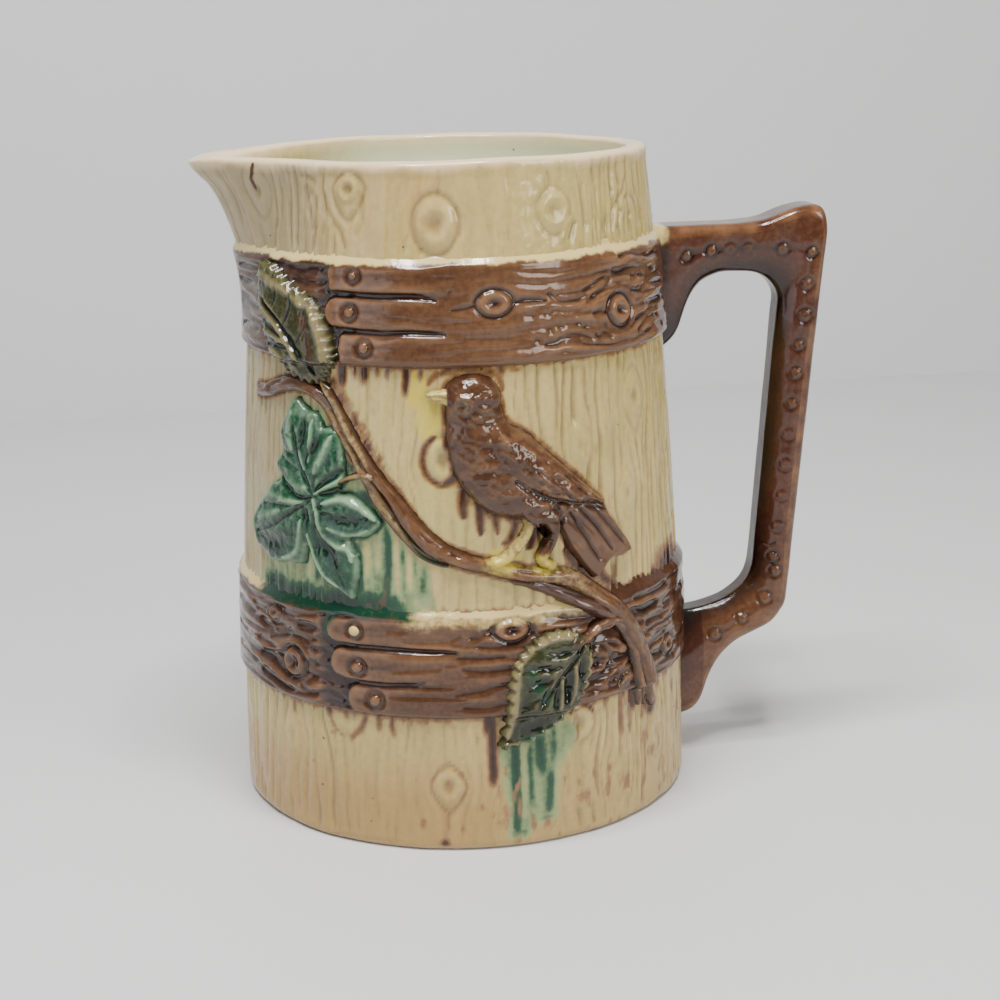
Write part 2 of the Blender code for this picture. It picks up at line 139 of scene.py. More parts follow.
# Distance from the middle of an oval, 1 on its edge; power 2 is round, less is pointed
def ovalDistance(s, z, centre, size, turn=0, power=2.0, down=1.0):
    tilt = math.radians(turn)
    ds, dz = s - centre[0], z - centre[1]
    across = np.abs(ds * math.cos(tilt) + dz * math.sin(tilt)) / (size[0] / 2)
    up = (dz * math.cos(tilt) - ds * math.sin(tilt)) / (size[1] / 2)
    up = np.where(up > 0, up, -up / down)
    return (across ** power + up ** power) ** (1 / power)


def hill(distance, middle, width):
    return np.exp(-((distance - middle) / width) ** 2)


def blots(s, z, spots):
    mask = np.zeros(s.shape)
    for centre, size, turn, share in spots:
        mask = np.maximum(mask, share * hill(ovalDistance(s, z, centre, size, turn), 0, 0.85))
    return mask


# Soft average over neighbouring grid points, for finding hollows and high places
def blurred(field, cells):
    for axis in (0, 1, 0, 1):
        reach = [(0, 0), (0, 0)]
        reach[axis] = (cells + 1, cells)
        total = np.cumsum(np.pad(field, reach, mode="edge"), axis)
        window = 2 * cells + 1
        upper = np.take(total, range(window, total.shape[axis]), axis)
        lower = np.take(total, range(0, total.shape[axis] - window), axis)
        field = (upper - lower) / window
    return field


# Shares of hollow and of high place, where glaze pools and where it runs thin
def hollowsAndTops(relief, columns, cells, deep=0.45):
    field = relief.reshape(-1, columns + 1)
    low = (blurred(field, cells) - field).ravel()
    return ease(0.0, deep, low), ease(0.0, deep, -low)


# The round wall

def wallRadius(z):
    share = np.clip(z / form["height"], 0, 1)
    return form["base"] - (form["base"] - form["rim"]) * share ** form["taper"]


def lipPush(fromSpout, z):
    share = np.clip((z - form["height"] + form["spoutDrop"]) / form["spoutDrop"], 0, 1)
    radius = wallRadius(z)
    halfWidth = np.arccos(radius / (radius + form["spoutReach"] * share ** form["spoutPower"]))
    away = np.hypot(fromSpout, form["spoutNose"]) - form["spoutNose"]
    return radius / np.cos(np.maximum(0, halfWidth - away)) - radius


def turned(angle, radius, z):
    return np.stack([radius * np.sin(angle), -radius * np.cos(angle), z], -1) * unit


def fromSpout(angle):
    return np.mod(angle + 1.5 * math.pi, 2 * math.pi) - math.pi


# A place on the wall from the middle of a side; the back is the front mirrored
def onWall(s, z, rise, side):
    angle = s / form["sideRadius"]
    radius = wallRadius(z) + lipPush(angle + math.pi / 2, z) + rise
    places = turned(angle, radius, z)
    places[:, 1] *= side
    return places


def foldedSide(angle):
    folded = np.where(angle > math.pi / 2, math.pi - angle, angle)
    return np.where(angle < -math.pi / 2, -math.pi - angle, folded) * form["sideRadius"]


def bandShare(z, band):
    low, high = form[band]
    return ease(low - 1.5, low + 0.3, z) * (1 - ease(high - 0.5, high + form["ledge"], z))


# What the leaves, the branch and the bird lie on
def ground(z):
    return form["bandRise"] * np.maximum(bandShare(z, "upperBand"), bandShare(z, "lowerBand"))


# Pieces as meshes

def readPoints(piece):
    places = np.empty(len(piece.data.vertices) * 3)
    piece.data.vertices.foreach_get("co", places)
    return places.reshape(-1, 3)


def writePoints(piece, places):
    piece.data.vertices.foreach_set("co", np.asarray(places, np.float32).ravel())
    piece.data.update()


def setMask(piece, name, values):
    layer = piece.data.attributes.new(name, "FLOAT", "POINT")
    layer.data.foreach_set("value", np.clip(values, 0, 1).astype(np.float32))


def gridPiece(name, columns, rows):
    bpy.ops.object.select_all(action="DESELECT")
    bpy.ops.mesh.primitive_grid_add(x_subdivisions=columns, y_subdivisions=rows, size=2, location=(0, 0, 0))
    piece = bpy.context.active_object
    piece.name = piece.data.name = name
    return piece


# Column and row of each grid point
def gridPlaces(piece, columns, rows):
    places = readPoints(piece)
    return (np.rint((places[:, 0] + 1) / 2 * columns).astype(int),
            np.rint((places[:, 1] + 1) / 2 * rows).astype(int))


# Welds the active piece's double points and turns its faces outward
def mergeAndTurnOut():
    bpy.ops.object.mode_set(mode="EDIT")
    bpy.ops.mesh.select_all(action="SELECT")
    bpy.ops.mesh.remove_doubles(threshold=2e-6)
    bpy.ops.mesh.normals_make_consistent(inside=False)
    bpy.ops.object.mode_set(mode="OBJECT")


def finishPiece(piece, material):
    bpy.ops.object.select_all(action="DESELECT")
    piece.select_set(True)
    bpy.context.view_layer.objects.active = piece
    piece.data.materials.clear()
    piece.data.materials.append(material)
    bpy.ops.object.shade_smooth()
    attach(piece, "root")


tile = {"depth": 2.0, "backStrip": 5.0, "polish": 0.9}  # how deep it reaches into the clay, in relief units


# A relief tile: a flat grid is raised, trimmed where it sinks under the wall, closed below and bent on
def reliefTile(name, box, step, side, shapeOf, material):
    (s0, z0), (s1, z1) = box
    columns, rows = int((s1 - s0) / step), int((z1 - z0) / step)
    piece = gridPiece(name, columns, rows)
    places = readPoints(piece)
    s = s0 + (places[:, 0] + 1) / 2 * (s1 - s0)
    z = z0 + (places[:, 1] + 1) / 2 * (z1 - z0)
    rise, detail, masks, kept = shapeOf(s, z)
    hollow, top = hollowsAndTops(detail, columns, max(2, round(tile["polish"] / step)))
    writePoints(piece, np.stack([s, z, rise], -1))
    masks["poolAndShade"] = masks["poolAndShade"] + 0.75 * hollow
    masks["worn"] = masks["worn"] + 0.75 * top
    for label, values in masks.items():
        setMask(piece, label, values)
    mesh = piece.data
    corners = np.empty(len(mesh.loops), int)
    mesh.loops.foreach_get("vertex_index", corners)
    mesh.polygons.foreach_set("select", ~kept[corners.reshape(-1, 4)].any(1))
    mesh.vertices.foreach_set("select", np.zeros(len(mesh.vertices), bool))
    mesh.edges.foreach_set("select", np.zeros(len(mesh.edges), bool))
    bpy.context.tool_settings.mesh_select_mode = (False, False, True)
    bpy.ops.object.mode_set(mode="EDIT")
    bpy.ops.mesh.delete(type="FACE")
    bpy.ops.mesh.select_all(action="SELECT")
    bpy.ops.mesh.region_to_loop()
    bpy.ops.mesh.extrude_edges_move(TRANSFORM_OT_translate={"value": (0, 0, -tile["depth"])})
    bpy.ops.mesh.edge_face_add()
    # the flat back is cut into strips, so that it bends with the wall and stays within the clay
    bpy.ops.mesh.hide(unselected=True)
    for place in np.arange(s0 + tile["backStrip"], s1, tile["backStrip"]):
        bpy.ops.mesh.select_all(action="SELECT")
        bpy.ops.mesh.bisect(plane_co=(place, 0, 0), plane_no=(1, 0, 0))
    bpy.ops.mesh.reveal(select=False)
    bpy.ops.object.mode_set(mode="OBJECT")
    places = readPoints(piece)
    writePoints(piece, onWall(places[:, 0], places[:, 1], places[:, 2], side))
    mergeAndTurnOut()
    finishPiece(piece, material)
    return piece


# Node groups that several glazes share

def newGroup(name, inputs, outputs):
    group = bpy.data.node_groups.new(name, "ShaderNodeTree")
    for label, kind, value in inputs:
        socket = group.interface.new_socket(label, in_out="INPUT", socket_type=kind)
        socket.default_value = value
    for label, kind in outputs:
        group.interface.new_socket(label, in_out="OUTPUT", socket_type=kind)
    start = group.nodes.new("NodeGroupInput")
    end = group.nodes.new("NodeGroupOutput")
    return group, start, end


def addNode(tree, kind, values=None, **settings):
    node = tree.nodes.new(kind)
    for key, value in settings.items():
        setattr(node, key, value)
    for key, value in (values or {}).items():
        if isinstance(value, bpy.types.NodeSocket):
            tree.links.new(value, node.inputs[key])
        else:
            node.inputs[key].default_value = value
    return node


def mixTone(tree, share, first, second):
    node = tree.nodes.new("ShaderNodeMix")
    node.data_type = "RGBA"
    for key, value in ((0, share), (6, first), (7, second)):
        if isinstance(value, bpy.types.NodeSocket):
            tree.links.new(value, node.inputs[key])
        else:
            node.inputs[key].default_value = value if key == 0 else (*value, 1)
    return node.outputs[2]


def mathNode(tree, operation, first, second=0.0, third=0.0, clamp=False):
    node = tree.nodes.new("ShaderNodeMath")
    node.operation = operation
    node.use_clamp = clamp
    for key, value in enumerate((first, second, third)):
        if isinstance(value, bpy.types.NodeSocket):
            tree.links.new(value, node.inputs[key])
        else:
            node.inputs[key].default_value = value
    return node.outputs[0]


def rangeNode(tree, value, low, high, toLow=0.0, toHigh=1.0):
    node = addNode(tree, "ShaderNodeMapRange", {"Value": value, "From Min": low, "From Max": high,
                                                "To Min": toLow, "To Max": toHigh})
    node.interpolation_type = "SMOOTHSTEP"
    return node.outputs["Result"]


# Cloudy unevenness of a melted glaze: a broad cloud, a fine one, and runs that flowed downwards
def makeCloudGroup():
    group, start, end = newGroup("glazeCloud", [("Broad Scale", "NodeSocketFloat", 60.0),
                                                ("Fine Scale", "NodeSocketFloat", 420.0)],
                                 [("Broad", "NodeSocketFloat"), ("Fine", "NodeSocketFloat"),
                                  ("Runs", "NodeSocketFloat")])
    place = addNode(group, "ShaderNodeTexCoord").outputs["Object"]
    for label in ("Broad", "Fine"):
        noise = addNode(group, "ShaderNodeTexNoise",
                        {"Vector": place, "Scale": start.outputs[label + " Scale"], "Detail": 3.0,
                         "Roughness": 0.6})
        group.links.new(rangeNode(group, noise.outputs["Fac"], 0.3, 0.7), end.inputs[label])
    tall = addNode(group, "ShaderNodeVectorMath", {0: place, 1: (1.0, 1.0, 0.12)}, operation="MULTIPLY")
    runs = addNode(group, "ShaderNodeTexNoise", {"Vector": tall.outputs[0], "Scale": 430.0, "Detail": 2.0})
    group.links.new(rangeNode(group, runs.outputs["Fac"], 0.3, 0.7), end.inputs["Runs"])
    return group


# Fine crazing lines, pinholes and iron specks
def makeCrazeGroup():
    group, start, end = newGroup("glazeCraze", [("Cell Scale", "NodeSocketFloat", 420.0),
                                                ("Speck Scale", "NodeSocketFloat", 150.0)],
                                 [("Lines", "NodeSocketFloat"), ("Specks", "NodeSocketFloat")])
    place = addNode(group, "ShaderNodeTexCoord").outputs["Object"]
    wander = addNode(group, "ShaderNodeTexNoise", {"Vector": place, "Scale": 300.0, "Detail": 2.0})
    moved = addNode(group, "ShaderNodeVectorMath", {0: wander.outputs["Color"], 1: (0.0012, 0.0012, 0.0012),
                                                    2: place}, operation="MULTIPLY_ADD")
    cells = addNode(group, "ShaderNodeTexVoronoi", {"Vector": moved.outputs[0],
                                                    "Scale": start.outputs["Cell Scale"]},
                    feature="DISTANCE_TO_EDGE")
    group.links.new(rangeNode(group, cells.outputs["Distance"], 0.0, 0.055, 1.0, 0.0), end.inputs["Lines"])
    dots = addNode(group, "ShaderNodeTexVoronoi", {"Vector": place, "Scale": start.outputs["Speck Scale"]})
    chance = addNode(group, "ShaderNodeSeparateColor", {"Color": dots.outputs["Color"]})
    some = mathNode(group, "GREATER_THAN", chance.outputs[0], 0.66)
    size = mathNode(group, "MULTIPLY_ADD", chance.outputs[1], 0.05, 0.02)
    near = mathNode(group, "LESS_THAN", dots.outputs["Distance"], size)
    group.links.new(mathNode(group, "MULTIPLY", some, near), end.inputs["Specks"])
    return group


# Slow waves of the glaze surface, as a height
def makeRippleGroup():
    group, start, end = newGroup("glazeRipple", [("Scale", "NodeSocketFloat", 260.0)],
                                 [("Height", "NodeSocketFloat")])
    place = addNode(group, "ShaderNodeTexCoord").outputs["Object"]
    slow = addNode(group, "ShaderNodeTexNoise",
                   {"Vector": place, "Scale": start.outputs["Scale"], "Detail": 2.0, "Roughness": 0.5})
    group.links.new(slow.outputs["Fac"], end.inputs["Height"])
    return group


cloudGroup = makeCloudGroup()
crazeGroup = makeCrazeGroup()
rippleGroup = makeRippleGroup()


def placeGroup(tree, group, **values):
    node = tree.nodes.new("ShaderNodeGroup")
    node.node_tree = group
    for label, value in values.items():
        node.inputs[label.replace("_", " ")].default_value = value
    return node


def maskOf(tree, name):
    return addNode(tree, "ShaderNodeAttribute", attribute_name=name).outputs["Fac"]


def newGlaze(name, roughness):
    material = bpy.data.materials.new(name)
    material.use_nodes = True
    tree = material.node_tree
    shader = tree.nodes["Principled BSDF"]
    shader.inputs["Roughness"].default_value = roughness
    shader.inputs["IOR"].default_value = 1.5
    return material, tree, shader


def addRipple(tree, shader, scale, distance):
    height = placeGroup(tree, rippleGroup, Scale=scale).outputs[0]
    bump = addNode(tree, "ShaderNodeBump", {"Height": height, "Strength": 0.4, "Distance": distance})
    tree.links.new(bump.outputs["Normal"], shader.inputs["Normal"])


# Tones of the glazes, linear
tones = {
    "cream": (0.62, 0.47, 0.19), "straw": (0.54, 0.43, 0.145), "tan": (0.44, 0.27, 0.085),
    # the grey tone is only used for the painted shade on the left side of the wall
    "shade": (0.170, 0.110, 0.045), "coolShadeGrey": (0.34, 0.29, 0.19), "paleRim": (0.84, 0.64, 0.38),
    "aqua": (0.84, 0.88, 0.64),
    "brownThin": (0.27, 0.140, 0.055), "brown": (0.068, 0.027, 0.012), "brownDark": (0.018, 0.006, 0.004),
    "brownLight": (0.215, 0.108, 0.050), "plum": (0.070, 0.036, 0.027),
    "greenThin": (0.26, 0.33, 0.14), "green": (0.007, 0.060, 0.026), "greenDark": (0.0012, 0.016, 0.007),
    "greenPool": (0.004, 0.034, 0.016), "celadon": (0.22, 0.34, 0.20), "olive": (0.032, 0.034, 0.011),
    "oliveDark": (0.002, 0.005, 0.002),
    "oliveLight": (0.21, 0.17, 0.075), "yellow": (0.60, 0.46, 0.08), "redBrown": (0.066, 0.020, 0.009),
    "redDark": (0.010, 0.003, 0.002), "golden": (0.22, 0.105, 0.045),
    "clay": (0.52, 0.40, 0.27), "speck": (0.07, 0.035, 0.015),
}


# A coloured glaze that is dark where it pooled and where shade is painted, and light where it ran thin
def pooledTone(tree, dark, middle, light, clouds, broad=0.30):
    poolAndShade = mathNode(tree, "MULTIPLY_ADD", clouds.outputs["Broad"], broad, maskOf(tree, "poolAndShade"))
    poolAndShade = mathNode(tree, "SUBTRACT", poolAndShade, broad / 2, clamp=True)
    worn = mathNode(tree, "MULTIPLY_ADD", clouds.outputs["Fine"], 0.24, maskOf(tree, "worn"))
    worn = mathNode(tree, "SUBTRACT", worn, 0.12, clamp=True)
    tone = mixTone(tree, worn, tones[middle], tones[light])
    return mixTone(tree, poolAndShade, tone, tones[dark])


# A colour that ran over another one: thin at its edge, deep where the mask is full
def washTone(tree, tone, share, thin, full, deep):
    tone = mixTone(tree, rangeNode(tree, share, 0.04, 0.34), tone, tones[thin])
    tone = mixTone(tree, rangeNode(tree, share, 0.26, 0.66), tone, tones[full])
    return mixTone(tree, rangeNode(tree, share, 0.62, 1.0), tone, tones[deep])


def creamGlaze():
    material, tree, shader = newGlaze("creamGlaze", 0.16)
    clouds = placeGroup(tree, cloudGroup, Broad_Scale=38.0, Fine_Scale=520.0)
    craze = placeGroup(tree, crazeGroup, Cell_Scale=430.0, Speck_Scale=150.0)
    tone = mixTone(tree, clouds.outputs["Broad"], tones["cream"], tones["straw"])
    tone = mixTone(tree, maskOf(tree, "warm"), tone, tones["tan"])
    # painted shade: a cool grey darkening laid over the left side of the wall
    tone = mixTone(tree, maskOf(tree, "paintedCoolShade"), tone, tones["coolShadeGrey"])
    tone = mixTone(tree, mathNode(tree, "MULTIPLY", clouds.outputs["Fine"], 0.12), tone, tones["shade"])
    tone = mixTone(tree, mathNode(tree, "MULTIPLY", clouds.outputs["Runs"], 0.14), tone, tones["shade"])
    tone = mixTone(tree, maskOf(tree, "poolAndShade"), tone, tones["shade"])
    tone = mixTone(tree, mathNode(tree, "MULTIPLY", craze.outputs["Lines"], 0.07), tone, tones["shade"])
    tone = mixTone(tree, maskOf(tree, "inner"), tone, tones["aqua"])
    tone = mixTone(tree, maskOf(tree, "rim"), tone, tones["paleRim"])
    ragged = mathNode(tree, "ADD", clouds.outputs["Fine"], clouds.outputs["Runs"])
    ragged = mathNode(tree, "MULTIPLY", mathNode(tree, "SUBTRACT", ragged, 1.0), 0.10)
    for label, thin, full, deep in (("yellow", "yellow", "yellow", "yellow"),
                                    ("green", "greenThin", "green", "greenDark"),
                                    ("brown", "brownThin", "brown", "brownDark")):
        mask = maskOf(tree, label)
        fray = mathNode(tree, "MULTIPLY", ragged, rangeNode(tree, mask, 0.0, 0.25))
        tone = washTone(tree, tone, mathNode(tree, "ADD", mask, fray), thin, full, deep)
    tone = mixTone(tree, mathNode(tree, "MULTIPLY", craze.outputs["Specks"], 0.8), tone, tones["speck"])
    tone = mixTone(tree, maskOf(tree, "bare"), tone, tones["clay"])
    tree.links.new(tone, shader.inputs["Base Color"])
    rough = mathNode(tree, "MULTIPLY_ADD", maskOf(tree, "bare"), 0.6, 0.14)
    tree.links.new(rough, shader.inputs["Roughness"])
    addRipple(tree, shader, 240.0, 0.0003)
    return material


def brownGlaze(name, dark="brownDark", middle="brown", light="brownLight", broadScale=70.0):
    material, tree, shader = newGlaze(name, 0.14)
    clouds = placeGroup(tree, cloudGroup, Broad_Scale=broadScale, Fine_Scale=600.0)
    craze = placeGroup(tree, crazeGroup, Cell_Scale=430.0, Speck_Scale=170.0)
    tone = pooledTone(tree, dark, middle, light, clouds)
    washes = {"plum": "plum", "cream": "cream", "yellow": "yellow", "green": "greenPool"}
    for label, tint in washes.items():
        mask = maskOf(tree, label)
        fray = mathNode(tree, "MULTIPLY", mathNode(tree, "SUBTRACT", clouds.outputs["Fine"], 0.5), 0.3)
        fray = mathNode(tree, "MULTIPLY", fray, rangeNode(tree, mask, 0.0, 0.3))
        share = rangeNode(tree, mathNode(tree, "ADD", mask, fray), 0.02, 0.9)
        tone = mixTone(tree, share, tone, tones[tint])
    tone = mixTone(tree, mathNode(tree, "MULTIPLY", craze.outputs["Specks"], 0.5), tone, tones["speck"])
    tree.links.new(tone, shader.inputs["Base Color"])
    addRipple(tree, shader, 260.0, 0.0003)
    return material


def leafGlaze(name, dark, middle, light, green):
    material, tree, shader = newGlaze(name, 0.12)
    clouds = placeGroup(tree, cloudGroup, Broad_Scale=110.0, Fine_Scale=600.0)
    tone = pooledTone(tree, dark, middle, light, clouds)
    for label, thin in (("brown", "brown"), ("cream", "oliveLight"), ("green", green)):
        share = rangeNode(tree, mathNode(tree, "MULTIPLY_ADD", clouds.outputs["Broad"], 0.2,
                                         maskOf(tree, label)),
                          0.25, 1.0)
        tone = mixTone(tree, share, tone, tones[thin])
    tree.links.new(tone, shader.inputs["Base Color"])
    addRipple(tree, shader, 260.0, 0.0003)
    return material


glazes = {
    "cream": creamGlaze(), "brown": brownGlaze("plankGlaze"),
    "bird": brownGlaze("birdGlaze", broadScale=150.0),
    "branch": brownGlaze("branchGlaze", broadScale=120.0),
    "handle": brownGlaze("handleGlaze", "redDark", "redBrown", "golden", 60.0),
    "ivy": leafGlaze("ivyGlaze", "greenDark", "green", "celadon", "celadon"),
    "leaf": leafGlaze("leafGlaze", "oliveDark", "olive", "oliveLight", "green"),
}
print("glazes mixed")

# Outlines of the relief, s across and z up from the middle of the side
outlines = {
    "ivyLeaf": [
        (-40.5, 105), (-40.4, 109), (-40.6, 114), (-42.3, 118.4), (-45, 119), (-47.6, 118.4),
        (-49.4, 121.8), (-53.5, 123.2), (-57.5, 125.6), (-61, 121.5), (-63.8, 116), (-62.8, 110.5),
        (-65.4, 106.6), (-63.6, 102.4), (-68.6, 99.6), (-73.4, 94.8), (-78.0, 88.5), (-76.6, 82),
        (-71.8, 79.6), (-66, 78.0), (-60, 79.4), (-54.6, 79.8), (-52.6, 84.6), (-50.4, 80.6), (-47.6, 76.6),
        (-43.2, 74.8), (-38, 71.8), (-36.6, 77.0), (-36.4, 84.2), (-38.8, 88.6), (-34, 90.0), (-29.6, 93.8),
        (-33.5, 97.8), (-37.6, 100.9), (-42, 101.4),
    ],
    "upperLeaf": [
        (-48.3, 131), (-46, 133.5), (-43.2, 137), (-44, 141.5), (-47, 148.5), (-52, 154), (-59, 156.5),
        (-66, 160), (-74.5, 161), (-74.3, 154), (-72, 146), (-68.5, 139), (-63, 134), (-55, 130.6),
    ],
    "lowerLeaf": [
        (24.4, 58), (21, 61.4), (15.4, 62.3), (9.4, 59.6), (5.6, 55.8), (3.6, 50.5), (2.6, 44), (1.9, 37),
        (0.5, 30.4), (6, 30.8), (12.6, 33.4), (18, 37), (22, 41.6), (24.6, 47), (26, 53.6),
    ],
    "birdBody": [
        (-11.6, 124.6), (-11.9, 128.6), (-10.8, 131.8), (-7.5, 133.6), (-3.4, 133.7), (0.4, 131.9),
        (2.9, 128), (4, 123.8), (5.6, 120.6), (11, 117), (16, 112.4), (21, 107.6), (27, 102), (32.8, 96),
        (25, 95.4), (18.5, 91.5), (14, 93.5), (6.5, 94.2), (0, 96.2), (-5, 100.4), (-8.6, 105.4),
        (-10.7, 111), (-11.6, 118),
    ],
    "birdTail": [
        (17, 98), (31, 98), (34.5, 92), (39, 86.4), (42.2, 82), (42.2, 80), (39.5, 79.6), (35.5, 79.6),
        (32.2, 77.4), (30.2, 75.2), (28.6, 75.4), (25, 79.4), (20.5, 86.5),
    ],
    "birdWing": [
        (1.6, 120.2), (6.5, 119.2), (12, 115.4), (17, 111), (22, 106.6), (28, 101), (33.6, 94.8),
        (27, 96.2), (19, 98.6), (12.5, 101.4), (7.4, 105), (3.0, 109.6), (0.2, 115),
    ],
    "birdThigh": [
        (6.5, 101), (12.5, 100.4), (16.5, 97), (18.0, 92.4), (16.4, 87.6), (13.4, 88.6), (10.6, 92.2),
        (7, 95.6),
    ],
}
rings = {label: smoothRun(points, 5, closed=True) for label, points in outlines.items()}

# The branch is two ridges side by side: path, half widths, and how high it stands
branchPath = [
    (-49, 131.5), (-44.5, 126.5), (-40.5, 120.5), (-35.5, 112.8), (-31, 106.3), (-26.5, 100.8), (-21.5, 94),
    (-15.5, 87.5), (-8.5, 84), (0, 81.4), (9, 78.8), (17, 77.4), (23, 75), (29, 70.3), (35, 64.8),
    (40, 58.3), (44, 50.5), (46.8, 42.5), (49.6, 35), (51, 31.5),
]
sideRidgePath = [
    (-79, 125), (-72, 126), (-66, 128), (-60, 129.4), (-54, 129), (-48.5, 126.5), (-44, 121.5), (-39, 114),
    (-34.5, 107), (-31.3, 101.5), (-27, 95.5), (-22.5, 89.8), (-17.5, 84.8), (-12, 82.2),
]
lowRidgePath = [
    (4, 77.6), (12, 75.4), (20, 71.6), (28, 66.9), (34, 62.8), (38, 58.5), (41, 52.4), (42.6, 46),
    (43.8, 40), (44.6, 33.6),
]

# Knots in the staves: place, ring size, halo (width, up, down), how pointed, how proud
staveKnots = [
    ((-75, 181), (5, 8), (9.5, 7.5, 8), 1.7, 0.8), ((-40.3, 182.3), (6.4, 6), (11, 4.8, 8.4), 1.5, 1.0),
    ((-13.5, 173.3), (9.6, 10.4), (13.5, 8, 8), 2.0, 1.15),
    ((22.8, 175.5), (9, 8.4), (11.5, 6, 6.6), 1.8, 0.65),
    ((-12.7, 111), (6.6, 10.4), (10.4, 6.6, 6.6), 2.0, 1.25),
    ((50, 122.5), (6, 8.6), (11.5, 8.6, 10), 1.5, 0.75), ((-41, 37.5), (5, 7), (11.5, 5.5, 6), 1.4, 0.5),
    ((-13.2, 19.3), (5.6, 8.4), (9.6, 6, 8), 1.4, 1.0), ((23, 34), (6.8, 8.4), (10.4, 5.2, 6), 1.9, 0.9),
    ((53.5, 22.6), (5.6, 9.4), (9.4, 7, 8), 1.6, 0.6), ((44, 96), (4, 9), (8, 7, 8), 1.4, 0.5),
    ((27, 112), (3, 8), (7, 7, 8), 1.4, 0.4), ((-61, 28), (4, 9), (8, 7, 8), 1.4, 0.35),
    ((36, 14), (3, 7), (6.5, 6, 7), 1.4, 0.45), ((-54, 176), (2.4, 6), (5, 5, 6), 1.4, 0.5),
]
# Single cuts and ridges beside the knots: line, width, depth (a ridge is negative)
staveCuts = [
    ([(-65, 189), (-64, 182), (-63.6, 174), (-62.6, 166)], 0.8, 0.55),
    ([(-60.2, 188), (-59.6, 178), (-60, 167)], 0.8, 0.5),
    ([(-56, 183), (-54.6, 176), (-53.4, 171)], 0.8, 0.5),
    ([(-51.6, 180), (-52.6, 174), (-52, 167)], 0.8, 0.4),
    ([(-49, 181), (-47, 176), (-43, 171), (-41, 167)], 0.8, 0.45),
    ([(-68.5, 187), (-69, 177), (-68.4, 167)], 0.7, 0.4),
    ([(-58, 185.6), (-54, 185), (-52.6, 183.6)], 0.9, 0.4),
    ([(-35.4, 181), (-35.8, 175), (-37.6, 170)], 0.8, 0.3),
    ([(-12.6, 187.6), (-12, 184), (-12.8, 180)], 0.7, 0.4),
    ([(-7.6, 178), (-5.8, 174), (-6.2, 169.6)], 0.9, 0.4),
    ([(-21.4, 171), (-22, 168.6), (-22.6, 166)], 0.7, 0.3),
    ([(-17.6, 167.6), (-17.8, 166.4), (-18.6, 165)], 0.6, 0.3),
    ([(21, 185.6), (21.8, 183.4), (21.4, 181)], 0.8, 0.35),
    ([(24.2, 167.4), (26, 170.6), (28.8, 173.6)], 0.9, -0.6),
    ([(27.2, 167.4), (28.6, 170), (30.4, 172.4)], 0.7, 0.4),
    ([(33.6, 183), (33.2, 177), (34, 170)], 0.8, 0.3), ([(38, 186), (37.6, 177), (38.4, 168)], 0.8, 0.4),
    ([(42, 187), (41.4, 177), (41.6, 168)], 0.8, 0.45), ([(46.6, 188), (46, 181), (46.8, 176)], 0.8, 0.45),
    ([(45, 168), (45.6, 172), (48, 175.4), (53, 178.6), (55.8, 182.6)], 0.8, 0.6),
    ([(48.2, 168), (49, 171.6), (51.4, 174)], 0.7, 0.5), ([(52, 167), (52.2, 170), (53, 172.4)], 0.7, 0.45),
    ([(55, 167), (55.2, 170.4), (56.6, 173)], 0.7, 0.45),
    ([(53, 176), (57, 177), (60.4, 173.4), (60.6, 168)], 0.8, 0.5),
    ([(50.6, 188), (50, 183), (51.6, 180)], 0.7, 0.45),
    ([(60, 186), (60.8, 180), (63.8, 174), (63.6, 168)], 0.8, 0.5),
    ([(-13.4, 11.4), (-13.6, 9), (-13.6, 6.6)], 0.7, 0.4),
    ([(-39.8, 31.6), (-39.6, 29), (-39.2, 26)], 0.6, 0.3),
]


# How strongly the staves' grain is cut, by region
def graveStrength(s, z):
    top = ease(158, 166, z)
    low = 1 - ease(42, 62, z)
    middle = 1 - top - low
    left = ease(-40, -50, s)
    right = ease(26, 38, s)
    strength = top * (0.22 + 0.70 * left + 0.65 * right)
    strength += middle * (0.55 + 0.35 * left + 0.62 * ease(2, 14, s))
    return strength + low * (0.50 + 0.35 * left + 0.45 * ease(12, 26, s))


# Broken upright cuts in lanes that wander a little
def furrows(across, z, spacing, seed, width, gap):
    lane = np.floor(across / spacing)
    inLane = across / spacing - lane
    middle = 0.5 + 0.2 * softNoise(lane * 5.3, z * 0.05, seed)
    here = ease(gap, gap + 0.35, softNoise(lane * 3.7 + 11, z * 0.055, seed + 1))
    window = ease(0, 0.14, inLane) * ease(1, 0.86, inLane)
    return here * window * hill(inLane, middle, width / spacing)


def staveShape(s, z):
    bent = s + 1.5 * softNoise(s * 0.07, z * 0.03, 4) + 0.6 * softNoise(s * 0.25, z * 0.12, 5)
    calm = np.ones(s.shape)
    carved = np.zeros(s.shape)
    for centre, size, halo, power, proud in staveKnots:
        near = (np.abs(s - centre[0]) < 18) & (np.abs(z - centre[1]) < 24)
        ds, dz = s[near] - centre[0], z[near] - centre[1]
        bent[near] -= ds * 0.8 * np.exp(-(ds / (halo[0] * 0.8)) ** 2 - (dz / (halo[1] * 1.5)) ** 2)
        ring = ovalDistance(s[near], z[near], centre, size, 0, 2.0)
        edge = ovalDistance(s[near], z[near], centre, (halo[0], 2 * halo[1]), 0, power, halo[2] / halo[1])
        calm[near] *= ease(0.95, 1.35, edge)
        carved[near] += proud * (0.55 * hill(ring, 0.82, 0.28) - 0.42 * hill(ring, 0, 0.42)
                                 - 0.50 * hill(edge, 1.0, 0.13))
    for line, width, depth in staveCuts:
        carved -= depth * stroke(s, z, line, width)
    cut = (0.60 * furrows(bent, z, 2.7, 11, 0.62, -0.15) + 0.42 * furrows(bent + 1.3, z, 3.6, 13, 0.8, 0.0)
           + 0.30 * furrows(bent, z, 1.45, 15, 0.35, 0.1))
    welt = 0.22 * softNoise(bent * 0.5, z * 0.035, 17)
    rise = (welt - cut) * graveStrength(s, z) * calm + carved
    return rise + 0.05 * softNoise(s * 0.8, z * 0.8, 18) + 0.03 * softNoise(s * 2.2, z * 1.6, 19)


